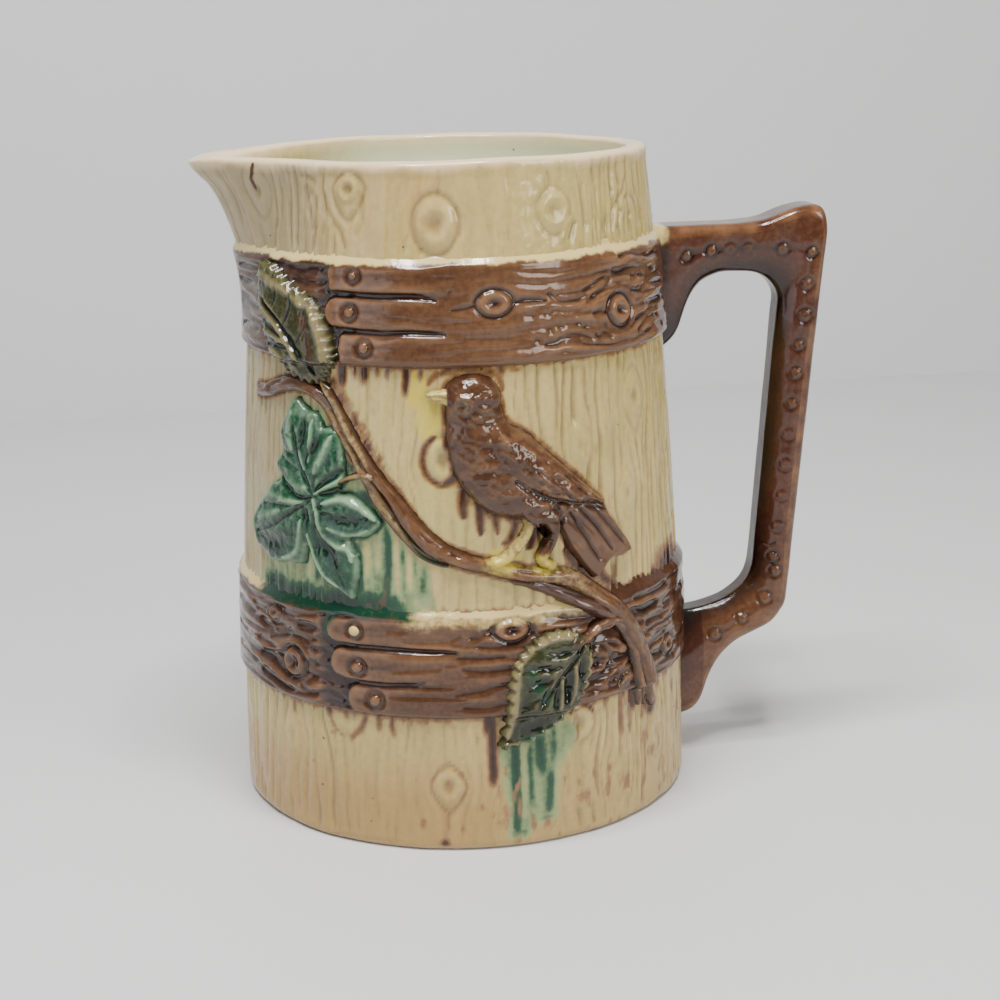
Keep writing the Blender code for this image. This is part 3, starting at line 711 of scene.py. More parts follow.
# Where coloured glazes ran over the staves: drips at, width, end, share
underUpperBand = [
    (-47.5, 1.2, 128, 0.9), (-41.6, 1.4, 128.5, 0.9), (-37.6, 0.9, 131.5, 0.7), (-34.6, 1.5, 130, 0.85),
    (-30.6, 0.9, 132, 0.6), (-27.6, 0.9, 131.5, 0.6), (-22.4, 1.1, 127, 0.75), (-18.4, 0.8, 131, 0.6),
    (-10.6, 2.4, 133, 0.8), (-3, 3.0, 133.4, 0.8), (3.6, 1.4, 132.4, 0.7),
]
underLowerBand = [
    (-64, 1.8, 36.8, 0.5), (-60, 0.9, 33, 0.42), (-57, 0.8, 36, 0.4), (-46.6, 1.2, 35.4, 0.7),
    (-38.6, 1.0, 36, 0.55), (-31.8, 0.9, 33, 0.55), (-27.8, 0.9, 32, 0.55), (-25.2, 0.7, 36, 0.45),
    (-22.9, 0.9, 35.4, 0.5), (-2.6, 1.5, 33, 0.9), (-1.5, 1.3, 18, 0.85), (37.4, 1.2, 25, 0.42),
    (31.4, 1.1, 35, 0.35), (42.6, 2.0, 31, 0.8), (41.0, 1.2, 25, 0.5), (46.6, 1.2, 27, 0.4),
    (50.4, 0.9, 36, 0.5), (55, 1.4, 34, 0.55), (60, 1.2, 36, 0.5), (-8, 0.8, 36.6, 0.4),
]
brownRuns = [
    ([(-6.9, 104.4), (-7.6, 100.5), (-7.4, 95)], 1.5, 0.95),
    ([(-3.6, 101.4), (-3.2, 96), (-3.0, 90.6)], 1.3, 0.95),
    ([(0.6, 97), (1.0, 93.6), (1.6, 90.6)], 1.0, 0.7),
    ([(5.4, 96), (6.2, 92.4), (4.6, 88.6), (2.6, 87.4)], 1.2, 0.8),
    ([(12.4, 94), (11.6, 90), (9.4, 85.6)], 1.9, 0.95),
    ([(-14.4, 117.6), (-17.2, 115), (-18.2, 110.6), (-16.4, 106), (-12.8, 104.2)], 1.15, 0.75),
    ([(-12.8, 104.4), (-10.6, 105.6), (-9, 108)], 1.3, 0.85),
    ([(-16.4, 131.4), (-13, 134.4), (-5, 135.4), (2, 134), (4.4, 129)], 1.2, 0.6),
    ([(31, 78.4), (32.6, 74), (38, 70.6)], 1.6, 0.8), ([(38, 79), (37.4, 75), (36.6, 71)], 0.9, 0.6),
    ([(20, 84.6), (24, 78.6), (28.4, 73.4)], 1.5, 0.85),
    ([(-46.6, 32), (-43.6, 31.6), (-41, 31.2)], 0.4, 0.3),
    ([(-35.2, 38.6), (-37.4, 34), (-40.4, 31)], 1.1, 0.62),
    ([(-46.8, 38.6), (-45.4, 34), (-42, 31)], 0.8, 0.4),
    ([(20, 37.4), (22.4, 39.2), (25.6, 38.6), (27.8, 36)], 0.8, 0.8),
    ([(-13.4, 26.6), (-16, 24), (-17.9, 19), (-16, 14), (-13.5, 11.6)], 0.55, 0.3),
    ([(-13.2, 26.6), (-10.6, 23.6), (-8.5, 19), (-10.6, 14.4), (-13.3, 11.6)], 0.6, 0.34),
    ([(-13.5, 12), (-13.6, 9.4), (-13.6, 6.6)], 0.75, 0.42),
    ([(-8.6, 36), (-6.6, 28), (-7.6, 24)], 0.5, 0.2), ([(24, 22), (24.4, 17), (24, 12)], 0.8, 0.2),
    ([(28.4, 24), (28.6, 18), (28.8, 10)], 0.7, 0.22), ([(33.4, 22), (33.6, 15)], 0.7, 0.2),
    ([(37.6, 24), (37.4, 16), (37.8, 9)], 0.8, 0.24), ([(44, 20), (45, 14)], 0.8, 0.2),
    ([(49.4, 28), (49, 24)], 0.7, 0.25),
]
brownBlots = [
    ((-20.2, 8.3), (2.4, 3.8), 0, 0.42), ((-14.6, 2.4), (3.6, 2.8), 0, 0.72),
    ((-9.9, 6.6), (1.7, 3.0), 0, 0.45), ((-9.8, 22.8), (1.6, 2.4), 0, 0.4),
    ((-13.4, 20.2), (2.2, 2.6), 0, 0.32), ((-53, 21.8), (1.6, 0.9), 20, 0.35),
    ((-44.8, 3.8), (2, 1.4), 0, 0.45), ((-4.6, 13), (1.8, 3.4), 0, 0.3), ((25.8, 8.4), (1.2, 2), 0, 0.35),
    ((21.6, 12.2), (1, 1.2), 0, 0.3), ((-46, 1.6), (3, 1), 0, 0.5), ((8, 134.6), (6, 1.8), 0, 0.3),
    ((2, 96.2), (11, 3.6), 0, 0.6), ((23, 73.6), (5, 2.4), -30, 0.3),
]
greenPool = [
    (-37, 113), (-33.5, 106), (-29.5, 99), (-24, 91.6), (-19, 85.6), (-15, 80), (-14, 71), (-16, 68.6),
    (-74, 68.6), (-76, 73), (-74, 80), (-60, 84), (-42, 102), (-40, 112),
]
greenRuns = [
    (-28.2, 1.2, 94, 71, 0.42), (-24.1, 0.8, 88, 83, 0.3), (-36.2, 1.1, 84, 70, 0.35),
    (-18.4, 1.0, 84, 74, 0.34), (-20.7, 0.6, 85, 80, 0.25), (-33.8, 0.9, 90, 78, -0.34),
    (-31.1, 0.9, 94, 80, -0.3), (-25.6, 1.0, 90, 73, -0.36), (-22.2, 0.9, 86, 75, -0.34),
    (-15.8, 0.8, 80, 73, -0.3), (-38, 0.8, 80, 73, -0.2), (-69.2, 0.8, 80, 74.6, -0.3),
    (-66.4, 0.7, 80, 74.6, -0.3), (-63.6, 0.7, 80, 74.6, -0.3), (-61, 0.7, 80, 75, -0.3),
    (-57.2, 0.9, 81, 74.6, -0.32), (-53.4, 0.9, 84, 74.6, -0.3), (-72, 0.7, 80, 75, -0.2),
    (-50, 0.8, 79, 74, 0.2),
]
greenSkirt = [
    (-0.2, 33), (-0.6, 24), (1, 12), (2, 4), (4.6, 1.8), (8, 3), (11, 5.4), (15, 7), (17, 12), (18, 21),
    (21.4, 27.4), (23, 33), (18.4, 37.4), (10, 35),
]
skirtRuns = [
    (4.7, 1.2, 31, 3, 0.42), (8.4, 0.9, 31, 12, 0.28), (11.4, 1.3, 33, 21, 0.46), (13.8, 1.2, 22, 8, 0.38),
    (15.4, 1.1, 36, 24, 0.2), (1.4, 1.0, 29, 8, -0.08), (6.6, 0.7, 31, 8, -0.16),
    (10.0, 0.5, 24, 12, -0.12),
]


def fringe(s, z, runs, top, soft):
    mask = np.zeros(s.shape)
    for at, width, end, share in runs:
        wave = 0.3 * softNoise(z * 0.3, z * 0 + at, 25)
        mask = np.maximum(mask, share * hill(s + wave, at, width) * ease(end - 1, end + 4, z)
                          * ease(top + soft, top, z))
    return mask


def runLines(s, z, runs):
    total = np.zeros(s.shape)
    for at, width, top, end, share in runs:
        wave = 0.35 * softNoise(z * 0.16, z * 0 + at, 26)
        total += share * hill(s + wave, at, width) * ease(end - 1.5, end + 3, z) * ease(top + 1.5, top - 3, z)
    return total


def staveTints(s, z, side):
    onFront = 1.0 if side == front else 0.55
    streak = softNoise(s * 0.8, z * 0.035, 22)
    low, high = form["upperBand"]
    brown = 0.42 * ease(low - 2.6 - streak, low - 0.4, z) * ease(145, 140, z)
    brown = np.maximum(brown, fringe(s, z, underUpperBand, low + 2, 4))
    low, high = form["lowerBand"]
    reach = 1.0 + 2.2 * ease(-0.1, 0.9, streak)
    brown = np.maximum(brown, 0.55 * ease(low - reach - 1.5, low - 0.3, z) * ease(50, 44, z))
    brown = np.maximum(brown, fringe(s, z, underLowerBand, low + 2, 4))
    reach = 2.2 + 2.6 * ease(-0.4, 0.8, streak)
    brown = np.maximum(brown, ease(high + reach + 1.8, high + reach * 0.4, z) * ease(50, 60, z)
                       * ease(27, 38, s) * 0.9)
    brown = np.maximum(brown, 0.95 * np.exp(-((s - 67) / 10) ** 2 - ((z - 70) / 5.5) ** 2))
    brown = np.maximum(brown, 0.45 * ease(high + reach + 1, high + 1, z) * ease(50, 60, z)
                       * ease(-20, -10, s))
    stain = softNoise(s * 0.55, z * 0.17, 27) + 0.4 * softNoise(s * 1.3, z * 0.5, 28)
    brown = np.maximum(brown, 0.30 * ease(0.30, 0.85, stain)
                       * (0.35 + 0.65 * ease(44, 30, z) * ease(-14, 6, s)))
    if side == front:
        brown = np.maximum(brown, 0.8 * strokes(s, z, brownRuns, 0.3))
        brown = np.maximum(brown, blots(s, z, brownBlots))
        away = insideDistance(s, z, rings["birdBody"])[0]
        brown = np.maximum(brown, ease(-2.2, 0.2, away) * (0.55 + 0.3 * softNoise(s * 0.6, z * 0.6, 23)))
        away = insideDistance(s, z, rings["birdTail"])[0]
        brown = np.maximum(brown, ease(-1.6, 0.2, away) * 0.6)
    away = lineDistance(s, z, smoothRun(branchPath, 3))[0]
    edge = ease(3.9, 2.2, away)
    brown = np.maximum(brown, edge * 0.55 * ease(-32, -26, s))
    rough = 0.75 + 0.5 * softNoise(s * 1.1, z * 1.1, 24)
    fuzz = ease(6.4, 2.4, away) * ease(-24, -31, s) * (s > -52) * rough
    brown = np.maximum(brown, 0.62 * fuzz)
    sideAway = lineDistance(s, z, smoothRun(sideRidgePath, 3))[0]
    brown = np.maximum(brown, 0.5 * ease(3.6, 2.0, sideAway) * ease(-50, -56, s))
    depth = insideDistance(s, z, smoothRun(greenPool, 4, closed=True))[0]
    green = ease(-2.0, 6.0, depth) * np.clip(0.40 + 0.12 * streak + runLines(s, z, greenRuns), 0, 1)
    pond = ease(67.0, 69.0, z) * ease(78, 71.0, z + 1.8 * streak) * ease(-79, -70, s) * ease(-15, -30, s)
    green = np.maximum(green, pond * (0.90 + 0.12 * streak))
    green = np.maximum(green, 0.30 * ease(66.6, 68.4, z) * ease(72, 70.4, z) * ease(-80, -73, s)
                       * ease(-16, -24, s))
    depth = insideDistance(s, z, smoothRun(greenSkirt, 4, closed=True))[0]
    skirt = ease(-2.6, 4.0, depth) * np.clip(0.38 + 0.06 * streak + runLines(s, z, skirtRuns), 0, 1)
    green = np.maximum(green, skirt)
    green = np.maximum(green, 0.62 * hill(ovalDistance(s, z, (5, 4.4), (7, 5)), 0, 0.9))
    green = np.maximum(green, 0.55 * hill(ovalDistance(s, z, (12.6, 8), (8, 4)), 0, 0.9))
    depth = insideDistance(s, z, rings["ivyLeaf"])[0]
    green = np.maximum(green, ease(-2.4, 0.2, depth) * (0.45 + 0.35 * ease(-50, -40, s)))
    green = np.maximum(green, 0.85 * hill(ovalDistance(s, z, (-38, 109.6), (6, 9), 30), 0, 0.9))
    green = np.maximum(green, 0.9 * hill(ovalDistance(s, z, (-34, 100), (8, 4.6), -50), 0, 0.9))
    green = np.maximum(green, 0.55 * fuzz)
    yellow = 0.75 * np.exp(-((s + 20) / 2.8) ** 2 - ((z - 130.6) / 4.6) ** 2)
    yellow = np.maximum(yellow, 0.65 * np.exp(-((s + 16) / 3.0) ** 2 - ((z - 122) / 5.5) ** 2))
    yellow = np.maximum(yellow, 0.95 * np.exp(-((s - 3) / 4.2) ** 2 - ((z - 83.2) / 2.6) ** 2))
    yellow *= 1.0 if side == front else 0.0
    warm = ease(37, 6, z) * (0.35 + 0.6 * ease(35, -30, s)) + 0.5 * ease(160, 170, z) * ease(20, -20, s)
    warm = warm + 0.22 * ease(75, 40, z) + 0.10 * streak
    # painted shade: the left side of the wall, where less light falls, is given a cooler grey and darker tone
    paintedCoolShade = 0.6 * ease(-38, -60, s) * ease(40, 80, z)
    return {"brown": brown, "green": green * onFront, "yellow": yellow, "warm": warm, "paintedCoolShade": paintedCoolShade}


# The vessel itself: a grid whose rows run from the underside over foot, wall and lip to the floor
vessel = {"fineColumn": 0.6, "coarseColumn": 2.0, "fineFrom": -1.78, "fineTo": 1.35, "spoutRoll": 1.3}


# Angles of a grid's columns: narrow where the photo shows the piece, wide behind
def columnAngles(grid):
    fine, coarse, fineFrom, fineTo = (
        grid[key] for key in ("fineColumn", "coarseColumn", "fineFrom", "fineTo"))
    angles = [-math.pi]
    while angles[-1] < math.pi:
        here = angles[-1]
        share = float(ease(fineFrom - 0.2, fineFrom, here) * (1 - ease(fineTo, fineTo + 0.2, here)))
        angles.append(here + (coarse + (fine - coarse) * share) / form["sideRadius"])
    angles = np.array(angles)
    return -math.pi + (angles + math.pi) * 2 * math.pi / (angles[-1] + math.pi)


def arcPoints(centre, radius, start, end, steps):
    turns = np.radians(np.linspace(start, end, steps + 1))
    return [(centre[0] + radius * math.cos(t), centre[1] + radius * math.sin(t)) for t in turns]


def vesselProfile():
    foot, lip, wall = form["footRound"], form["lipRound"], form["wall"]
    top = form["height"] - lip
    footRadius = float(wallRadius(np.array(foot))) - foot
    rows = [(footRadius * share, 0.0) for share in (0.0, 0.3, 0.6, 0.8, 0.92)]
    rows += arcPoints((footRadius, foot), foot, -90, 0, 4)[:-1]
    for start, end, step in ((foot, 41, 1.1), (41, 66, 4), (66, 138, 0.95), (138, 161.5, 4),
                             (161.5, top, 0.8)):
        for z in np.arange(start, end - step * 0.3, step):
            rows.append((float(wallRadius(z)), float(z)))
    outer = float(wallRadius(top))
    rows += arcPoints((outer - lip, top), lip, 0, 90, 4)
    rows += arcPoints((outer - wall + lip, top), lip, 90, 180, 4)
    for z in np.concatenate([np.arange(top - 3, 138, -3),
                             np.arange(138, form["floor"] + form["floorRound"], -9)]):
        rows.append((float(wallRadius(z)) - wall, float(z)))
    corner = float(wallRadius(form["floor"] + form["floorRound"])) - wall
    rows += arcPoints((corner - form["floorRound"], form["floor"] + form["floorRound"]),
                      form["floorRound"], 0, -90, 5)
    rows += [((corner - form["floorRound"]) * share, form["floor"]) for share in (0.7, 0.4, 0.0)]
    return np.array(rows)


def makeVessel():
    angles = columnAngles(vessel)
    profile = vesselProfile()
    columns, rows = len(angles) - 1, len(profile) - 1
    piece = gridPiece("vessel", columns, rows)
    column, row = gridPlaces(piece, columns, rows)
    angle, radius, z = angles[column], profile[row, 0], profile[row, 1]
    lastOuter = int(np.argmax(profile[:, 1] > form["height"] - 0.01))
    outer = (row <= lastOuter) & (z > 0.3)
    s = foldedSide(angle)
    spoutAway = fromSpout(angle)
    rise = staveShape(s, z)
    # the grain fades out at the foot, at the lip and beside the seams under spout and handle
    rise = np.where(outer, rise * ease(0.5, 5, z) * ease(189.6, 186.5, z) * ease(98.9, 92, np.abs(s)), 0)
    poolAndShade, top = hollowsAndTops(rise, columns, 2, 0.40)
    masks = {label: np.zeros(len(s)) for label in ("brown", "green", "yellow", "warm", "paintedCoolShade")}
    for side in (front, back):
        here = outer & ((np.abs(angle) <= math.pi / 2) == (side == front))
        for label, values in staveTints(s[here], z[here], side).items():
            masks[label][here] = values
    masks["warm"] = masks["warm"] - 0.3 * top
    spread = radius > 0.5 * form["rim"]
    inner = (row > lastOuter) & ~outer
    push = np.where(spread, lipPush(spoutAway, z), 0)
    # the clay is thicker where the lip was pulled, and rolls over a little at its tip
    push = push * np.where(inner, 1 - 0.30 * ease(165, 186, z) * ease(0.9, 0.2, np.abs(spoutAway)), 1)
    roll = vessel["spoutRoll"] * hill(z, 185.2, 3.6) * ease(0.75, 0.05, np.abs(spoutAway))
    rimRoll = 0.35 * hill(z, 187.6, 1.5) * (1 + 0.5 * softNoise(angle * 6, z * 0, 33))
    push = push + np.where(outer, roll + rimRoll, 0)
    uneven = 0.35 * np.sin(2 * angle + 0.6) + 0.25 * np.sin(5 * angle + 1.1) + 0.12 * np.sin(11 * angle)
    lift = np.where(spread & (z > 180), uneven * ease(180, 190, z) * 0.6, 0) - 0.5 * ease(188, 190, z)
    lift -= 1.2 * ease(0.22, 0.0, np.abs(spoutAway)) * ease(180, 190, z) * spread
    rawFoot = 0.35 * softNoise(angle * 9, z * 0.2, 31) * ease(5, 0.5, z) * (z > 0.2)
    writePoints(piece, turned(angle, radius + push + rise + rawFoot, z + lift))
    depthIn = ease(0, 5, row - lastOuter - 3.0)
    fromTip = np.maximum(ease(0.5, 1.3, np.abs(spoutAway)), ease(170, 120, z))
    masks["inner"] = np.where(inner, depthIn * fromTip, 0)
    unevenHeight = z + 0.8 * softNoise(angle * 14, z * 0, 34)
    masks["rim"] = ease(185.8, 189.2, unevenHeight) * 0.85 * (1 - masks["inner"])
    crack = strokes(s, z, [([(-73.6, 188.6), (-74.6, 186), (-75.6, 183), (-76, 180.4)], 0.5, 1.0)])
    masks["brown"] = np.maximum(masks["brown"], np.where(outer & (np.abs(angle) < math.pi / 2), crack, 0))
    masks["bare"] = np.where(row < 9, ease(1.2, 0.1, z), 0)
    masks["poolAndShade"] = np.where(outer, poolAndShade * 0.55, 0)
    for label, values in masks.items():
        setMask(piece, label, values)
    mergeAndTurnOut()
    finishPiece(piece, glazes["cream"])
    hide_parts("pitcher")
    return piece


vesselPiece = makeVessel()
print("vessel turned", len(vesselPiece.data.polygons))

# Plank bands: line, width and depth of each cut
upperCuts = [
    ([(-45.5, 155.4), (-43, 154.9), (-37, 154.9), (-28, 154.4), (-20, 154.6), (-13, 153.5)], 0.75, 1.5),
    ([(-43.6, 146.2), (-39, 145.4), (-33, 144.8), (-28, 144.5), (-21, 145.1), (-11, 144.7)], 0.75, 1.5),
    ([(-9.5, 151.1), (-6, 151.4), (-3.4, 152)], 0.55, 0.9),
    ([(8.2, 152.2), (11, 152.9), (17.5, 152.4)], 0.6, 1.1),
    ([(-36, 150.4), (-28, 149.6), (-20, 149)], 0.45, 0.4),
    ([(-34, 141), (-24, 141.4), (-14, 141)], 0.5, 0.35),
    ([(-30, 159.4), (-20, 159), (-8, 159.6)], 0.5, 0.35),
    ([(-20, 148), (-12, 147.4), (-4, 147.8)], 0.45, 0.4),
    ([(-6, 143.6), (4, 143.2), (12, 143.8)], 0.45, 0.4), ([(-10, 156.2), (-9.2, 155.8)], 0.6, 0.6),
    ([(18.4, 154.4), (20.4, 152.5), (24, 152), (28.4, 152.3), (31.4, 154), (35, 155.8), (39, 157)], 0.65,
     0.95), ([(30.4, 150.4), (33, 151.4), (36, 153), (38.6, 154.5), (41, 156.2)], 0.65, 0.9),
    ([(41.6, 158.2), (45, 157.8), (50, 158.8), (55, 158.8), (60, 157.8), (66, 156.2)], 0.85, 1.3),
    ([(44, 161.2), (50, 161.8), (56, 160.8), (62, 160), (70, 160)], 0.75, 1.0),
    ([(50, 151.9), (55, 151.6), (60, 152.9), (66, 151.8), (74, 151.4)], 0.85, 1.2),
    ([(52, 149), (56, 149.5), (60, 150.4), (66, 150.3)], 0.5, 0.6),
    ([(50, 147.2), (53, 147.4), (57.4, 147.2)], 0.75, 1.1),
    ([(57.4, 147.6), (62, 147), (72, 147)], 0.7, 0.9),
    ([(32.6, 147.2), (35.6, 147.1), (38.4, 147)], 0.85, 1.3),
    ([(51.5, 143.6), (55, 144.3), (60, 145.1), (67, 145)], 0.7, 1.0),
    ([(51.8, 140.1), (55, 142), (60, 143), (67, 142.6)], 0.7, 1.0),
    ([(16.6, 140.8), (20, 141), (24, 142.5), (28, 142.4), (32.6, 140.4)], 0.65, 1.0),
    ([(33.6, 142.4), (34.6, 141), (37, 141.2), (40, 140)], 0.75, 1.1),
    ([(56, 139), (62, 140), (70, 139.6)], 0.6, 0.8),
    ([(-75, 161), (-68, 162), (-62, 161.8), (-56, 161.2), (-48, 161)], 1.0, 1.2),
    ([(-60, 158), (-54, 157.4), (-47, 157.8)], 0.9, 1.1), ([(-95, 155), (-86, 154), (-77, 155)], 0.8, 1.0),
    ([(-96, 148), (-88, 149), (-76, 147.6)], 0.8, 1.0),
    ([(-94, 142), (-84, 141.6), (-76, 142.4)], 0.8, 1.0),
    ([(-92, 159), (-84, 159.6), (-76, 158.6)], 0.7, 0.9),
]
upperDots = [
    ((13, 148.4), (3.2, 2.4), 0, 0.5), ((17.6, 148.6), (2.8, 1.8), -10, 0.5),
    ((18.4, 144.4), (2.4, 2.6), 0, 0.8), ((21.8, 144.8), (2.2, 2), 0, 0.7),
    ((27.4, 145.4), (2.2, 1.6), 0, 0.6), ((30.2, 144.3), (2.2, 2), 0, 0.7),
    ((14.4, 142.2), (2.4, 2.6), 0, 0.5), ((44, 154.7), (3.6, 2.0), -8, 0.9), ((52, 155), (4, 2.6), 8, 1.1),
    ((57, 155.2), (4.4, 2.4), -4, 1.1), ((45.6, 161.6), (4, 2.2), 0, 1.0), ((18.6, 154.2), (2, 2), 0, 0.6),
    ((33.4, 151.8), (2.6, 1.6), 20, 0.6), ((37.6, 144.5), (1.2, 1.2), 0, 0.5),
    ((22.4, 138.8), (3, 1.2), 0, 0.4), ((-70, 154), (9, 5), 0, 0.8), ((-56, 159.6), (8, 3), 0, 0.9),
]
lowerCuts = [
    ([(-45.4, 59.2), (-42, 58.6), (-37, 58.3), (-30, 59), (-20, 58.5), (-10, 58.2)], 0.85, 1.6),
    ([(-43, 50), (-38, 48.7), (-30, 48.3), (-24, 49), (-18.6, 50)], 0.85, 1.5),
    ([(-7, 62.2), (-4, 63), (-1.4, 63.6)], 0.8, 1.1), ([(9.2, 62.8), (12, 61.8), (20, 61.6)], 1.0, 1.4),
    ([(8.4, 65.6), (13, 67), (22, 65), (30, 63), (36, 61.4)], 1.0, 1.4),
    ([(-34, 64), (-28, 64.6), (-22, 64.2)], 0.7, 0.7), ([(-24, 61.6), (-16, 61.4), (-9, 62.8)], 0.6, 0.6),
    ([(-33, 53), (-25, 53.6), (-14, 54)], 0.7, 0.7), ([(-28, 45.4), (-18, 46), (-8, 45.2)], 0.6, 0.6),
    ([(-10.4, 56.8), (-4, 56.4), (2.4, 56.8)], 0.75, 0.9), ([(-9, 53.8), (-2, 53), (4, 53.4)], 0.75, 0.9),
    ([(-11, 46.2), (-4, 47.4), (3, 48.8)], 0.7, 0.9), ([(-9, 42.8), (-3, 42.4), (2, 43)], 0.6, 0.7),
    ([(-5, 59.8), (0, 59.4), (6, 60.2)], 0.7, 0.9),
    ([(-96, 66.6), (-84, 66), (-72, 66.2), (-62, 65.2), (-53, 65.6), (-47, 66.6)], 0.9, 1.2),
    ([(-75, 59.6), (-70, 58.6), (-64, 60), (-58, 59), (-50, 58.6)], 0.9, 1.1),
    ([(-68, 55.4), (-64, 56.8), (-60, 58)], 1.1, 1.2),
    ([(-75, 53.8), (-70, 54), (-66, 52.8), (-63.6, 51)], 0.9, 1.2),
    ([(-74, 49.6), (-68, 49.4), (-64.4, 47.4), (-60, 45.4)], 0.9, 1.2),
    ([(-52.6, 52), (-49, 52.8), (-45.6, 54.8)], 0.9, 1.0),
    ([(-53.4, 48.6), (-49.4, 48), (-45, 48.4), (-42, 46.6)], 1.0, 1.2),
    ([(-56, 44.6), (-51, 43.2), (-46, 44), (-41, 42.6)], 0.8, 1.0),
    ([(-74, 44.6), (-66, 43.2), (-58, 42)], 0.8, 1.0),
    ([(-57.4, 61.8), (-53, 62), (-49.6, 62.2)], 1.1, 1.2),
    ([(-52, 56), (-49.4, 55.4), (-47, 56.4)], 0.9, 0.9), ([(-96, 60), (-86, 61), (-78, 60.2)], 0.9, 1.1),
    ([(-95, 53), (-86, 52.4), (-78, 53.4)], 0.9, 1.1), ([(-96, 46), (-86, 47), (-77, 45.6)], 0.9, 1.1),
    ([(-78, 63.6), (-74, 63), (-70.6, 63.4)], 0.8, 0.9),
    ([(25.6, 53.6), (28.4, 57.6), (33, 59.2), (37.4, 57.6), (40.4, 52.4), (42.2, 46), (43.4, 41)], 1.3,
     1.6), ([(25.6, 46.4), (28.6, 46), (31.6, 48), (33.4, 50.6)], 1.1, 1.4),
    ([(27, 50.4), (28.8, 50.8)], 1.2, 1.2), ([(33, 51.6), (36.4, 50.4), (39.6, 50.6)], 0.8, 1.1),
    ([(32.4, 44), (34.6, 44.4), (36.8, 43.4)], 0.9, 1.0), ([(44, 62.4), (48, 61.6), (54, 62.2)], 1.0, 1.1),
    ([(46.6, 57.2), (51, 57.4), (56, 56.6)], 1.0, 1.1), ([(49, 52), (53, 52.6), (58, 52)], 0.9, 1.0),
    ([(50, 47), (53.6, 46.2), (57, 46.8)], 1.1, 1.1), ([(51, 43), (57, 43.6), (63, 43)], 0.9, 0.9),
    ([(58, 60.6), (66, 60), (76, 61)], 0.9, 1.0), ([(64, 54), (72, 53), (80, 54)], 0.9, 1.0),
    ([(42, 66), (50, 65.4), (60, 66)], 0.9, 1.0), ([(64, 47), (72, 46), (80, 47)], 0.9, 1.0),
]
lowerDots = [
    ((-46.6, 47.4), (3, 2), 0, 0.8), ((-60.6, 58.4), (6, 2.6), 0, 0.8), ((38, 45), (2, 2), 0, 0.6),
    ((28.6, 51), (2.6, 3), 0, 1.1), ((26.6, 43.4), (4, 3), 0, 0.9), ((-50, 50.2), (5, 2), -10, 0.8),
]
lowerRidges = [
    ([(-75, 51.6), (-69, 51.9), (-64.8, 52.6), (-62.6, 54.8), (-59.4, 56.2), (-56, 55.6), (-53, 52.8),
     (-50, 50.6), (-45, 49.8)], 0.55, 0.55),
    ([(-57.6, 63.6), (-53, 64), (-48.4, 63.4), (-47.8, 61.4), (-51, 60.4)], 0.5, 0.45),
    ([(-75, 46.6), (-68, 47), (-63.6, 44.8), (-60, 43.2)], 0.5, 0.45),
    ([(-75, 61.4), (-70, 60.6), (-65.6, 57.4)], 0.5, 0.4),
    ([(30.6, 56.4), (33.8, 53.4), (37.6, 51.8), (37.6, 53.2), (34.6, 56.2), (31, 56.8)], 0.5, 0.8),
    ([(28.2, 53.6), (30.6, 53), (31.4, 51), (30.2, 48.8), (28, 48.4)], 0.5, 0.8),
    ([(32.6, 46), (35.6, 47.8), (39.4, 48.2)], 0.5, 0.6), ([(36, 42), (37.4, 44), (40, 45)], 0.5, 0.5),
    ([(43, 63.4), (48, 64), (54, 63.8)], 0.5, 0.5), ([(45.6, 59.4), (51, 60), (57, 59)], 0.5, 0.5),
    ([(48, 54.4), (54, 54.8), (60, 54)], 0.5, 0.5), ([(49.6, 49.4), (54, 49.6), (58, 50)], 0.5, 0.5),
]
bands = {
    "upperBand": {
        "cuts": upperCuts, "dots": upperDots, "ridges": [], "straight": (-46, 16),
        "knots": [
            ((2.5, 152.6), (7.4, 5.2), (11.6, 4.0, 4.0), 0, 1.9, 1.0),
            ((44.3, 147.2), (7.6, 5.4), (11.6, 4.9, 4.9), -18, 1.9, 1.3),
            ((-60, 131), (7, 6), (10, 4, 4), 0, 1.8, 0.6),
        ],
        "straps": [(-45.2, 155.9, 164.4, 0.25), (-46.2, 146.2, 153.9, 1.2), (-41.6, 136.0, 144.4, 0.4)],
        "rivets": [(-37.2, 159.9, 1.2), (-38.3, 150.2, 1.5), (-33.9, 141.0, 1.5)],
    },
    "lowerBand": {
        "cuts": lowerCuts, "dots": lowerDots, "ridges": lowerRidges, "straight": (-44, 4),
        "knots": [
            ((4.2, 63.8), (7.4, 4.8), (11.4, 3.9, 3.7), 0, 1.7, 1.5),
            ((-58.3, 50.5), (7.0, 6.8), (10.2, 5.2, 5), 0, 1.9, 1.3),
            ((59.5, 47.6), (5.2, 4.4), (8, 3.4, 3.4), 0, 1.9, 1.0),
            ((-66.8, 63), (4.6, 3.2), (6.6, 2.4, 2.4), 0, 1.9, 0.9),
            ((34.4, 44.2), (3.6, 2.4), (5.6, 2, 2), 20, 1.9, 0.6),
        ],
        "straps": [(-45.8, 59.6, 66.4, 1.0), (-44.6, 49.4, 58.0, 1.15), (-39.4, 40.4, 47.8, 1.0)],
        "rivets": [(-37.4, 63.3, 1.5), (-36.8, 52.9, 1.65), (-31.9, 44.0, 1.6)],
    },
}


# The end of one strap: 1 on the strap, 0 off it, fading away to the right
def strapShare(s, z, strap):
    start, low, high, blunt = strap
    middle, half = (low + high) / 2, (high - low) / 2
    nose = half * blunt
    across = np.clip((start + nose - s) / nose, 0, None)
    up = np.abs(z - middle) / half
    away = (across ** 2.4 + up ** 2.4) ** (1 / 2.4)
    return ease(1.10, 0.94, away) * ease(-8, -18, s)


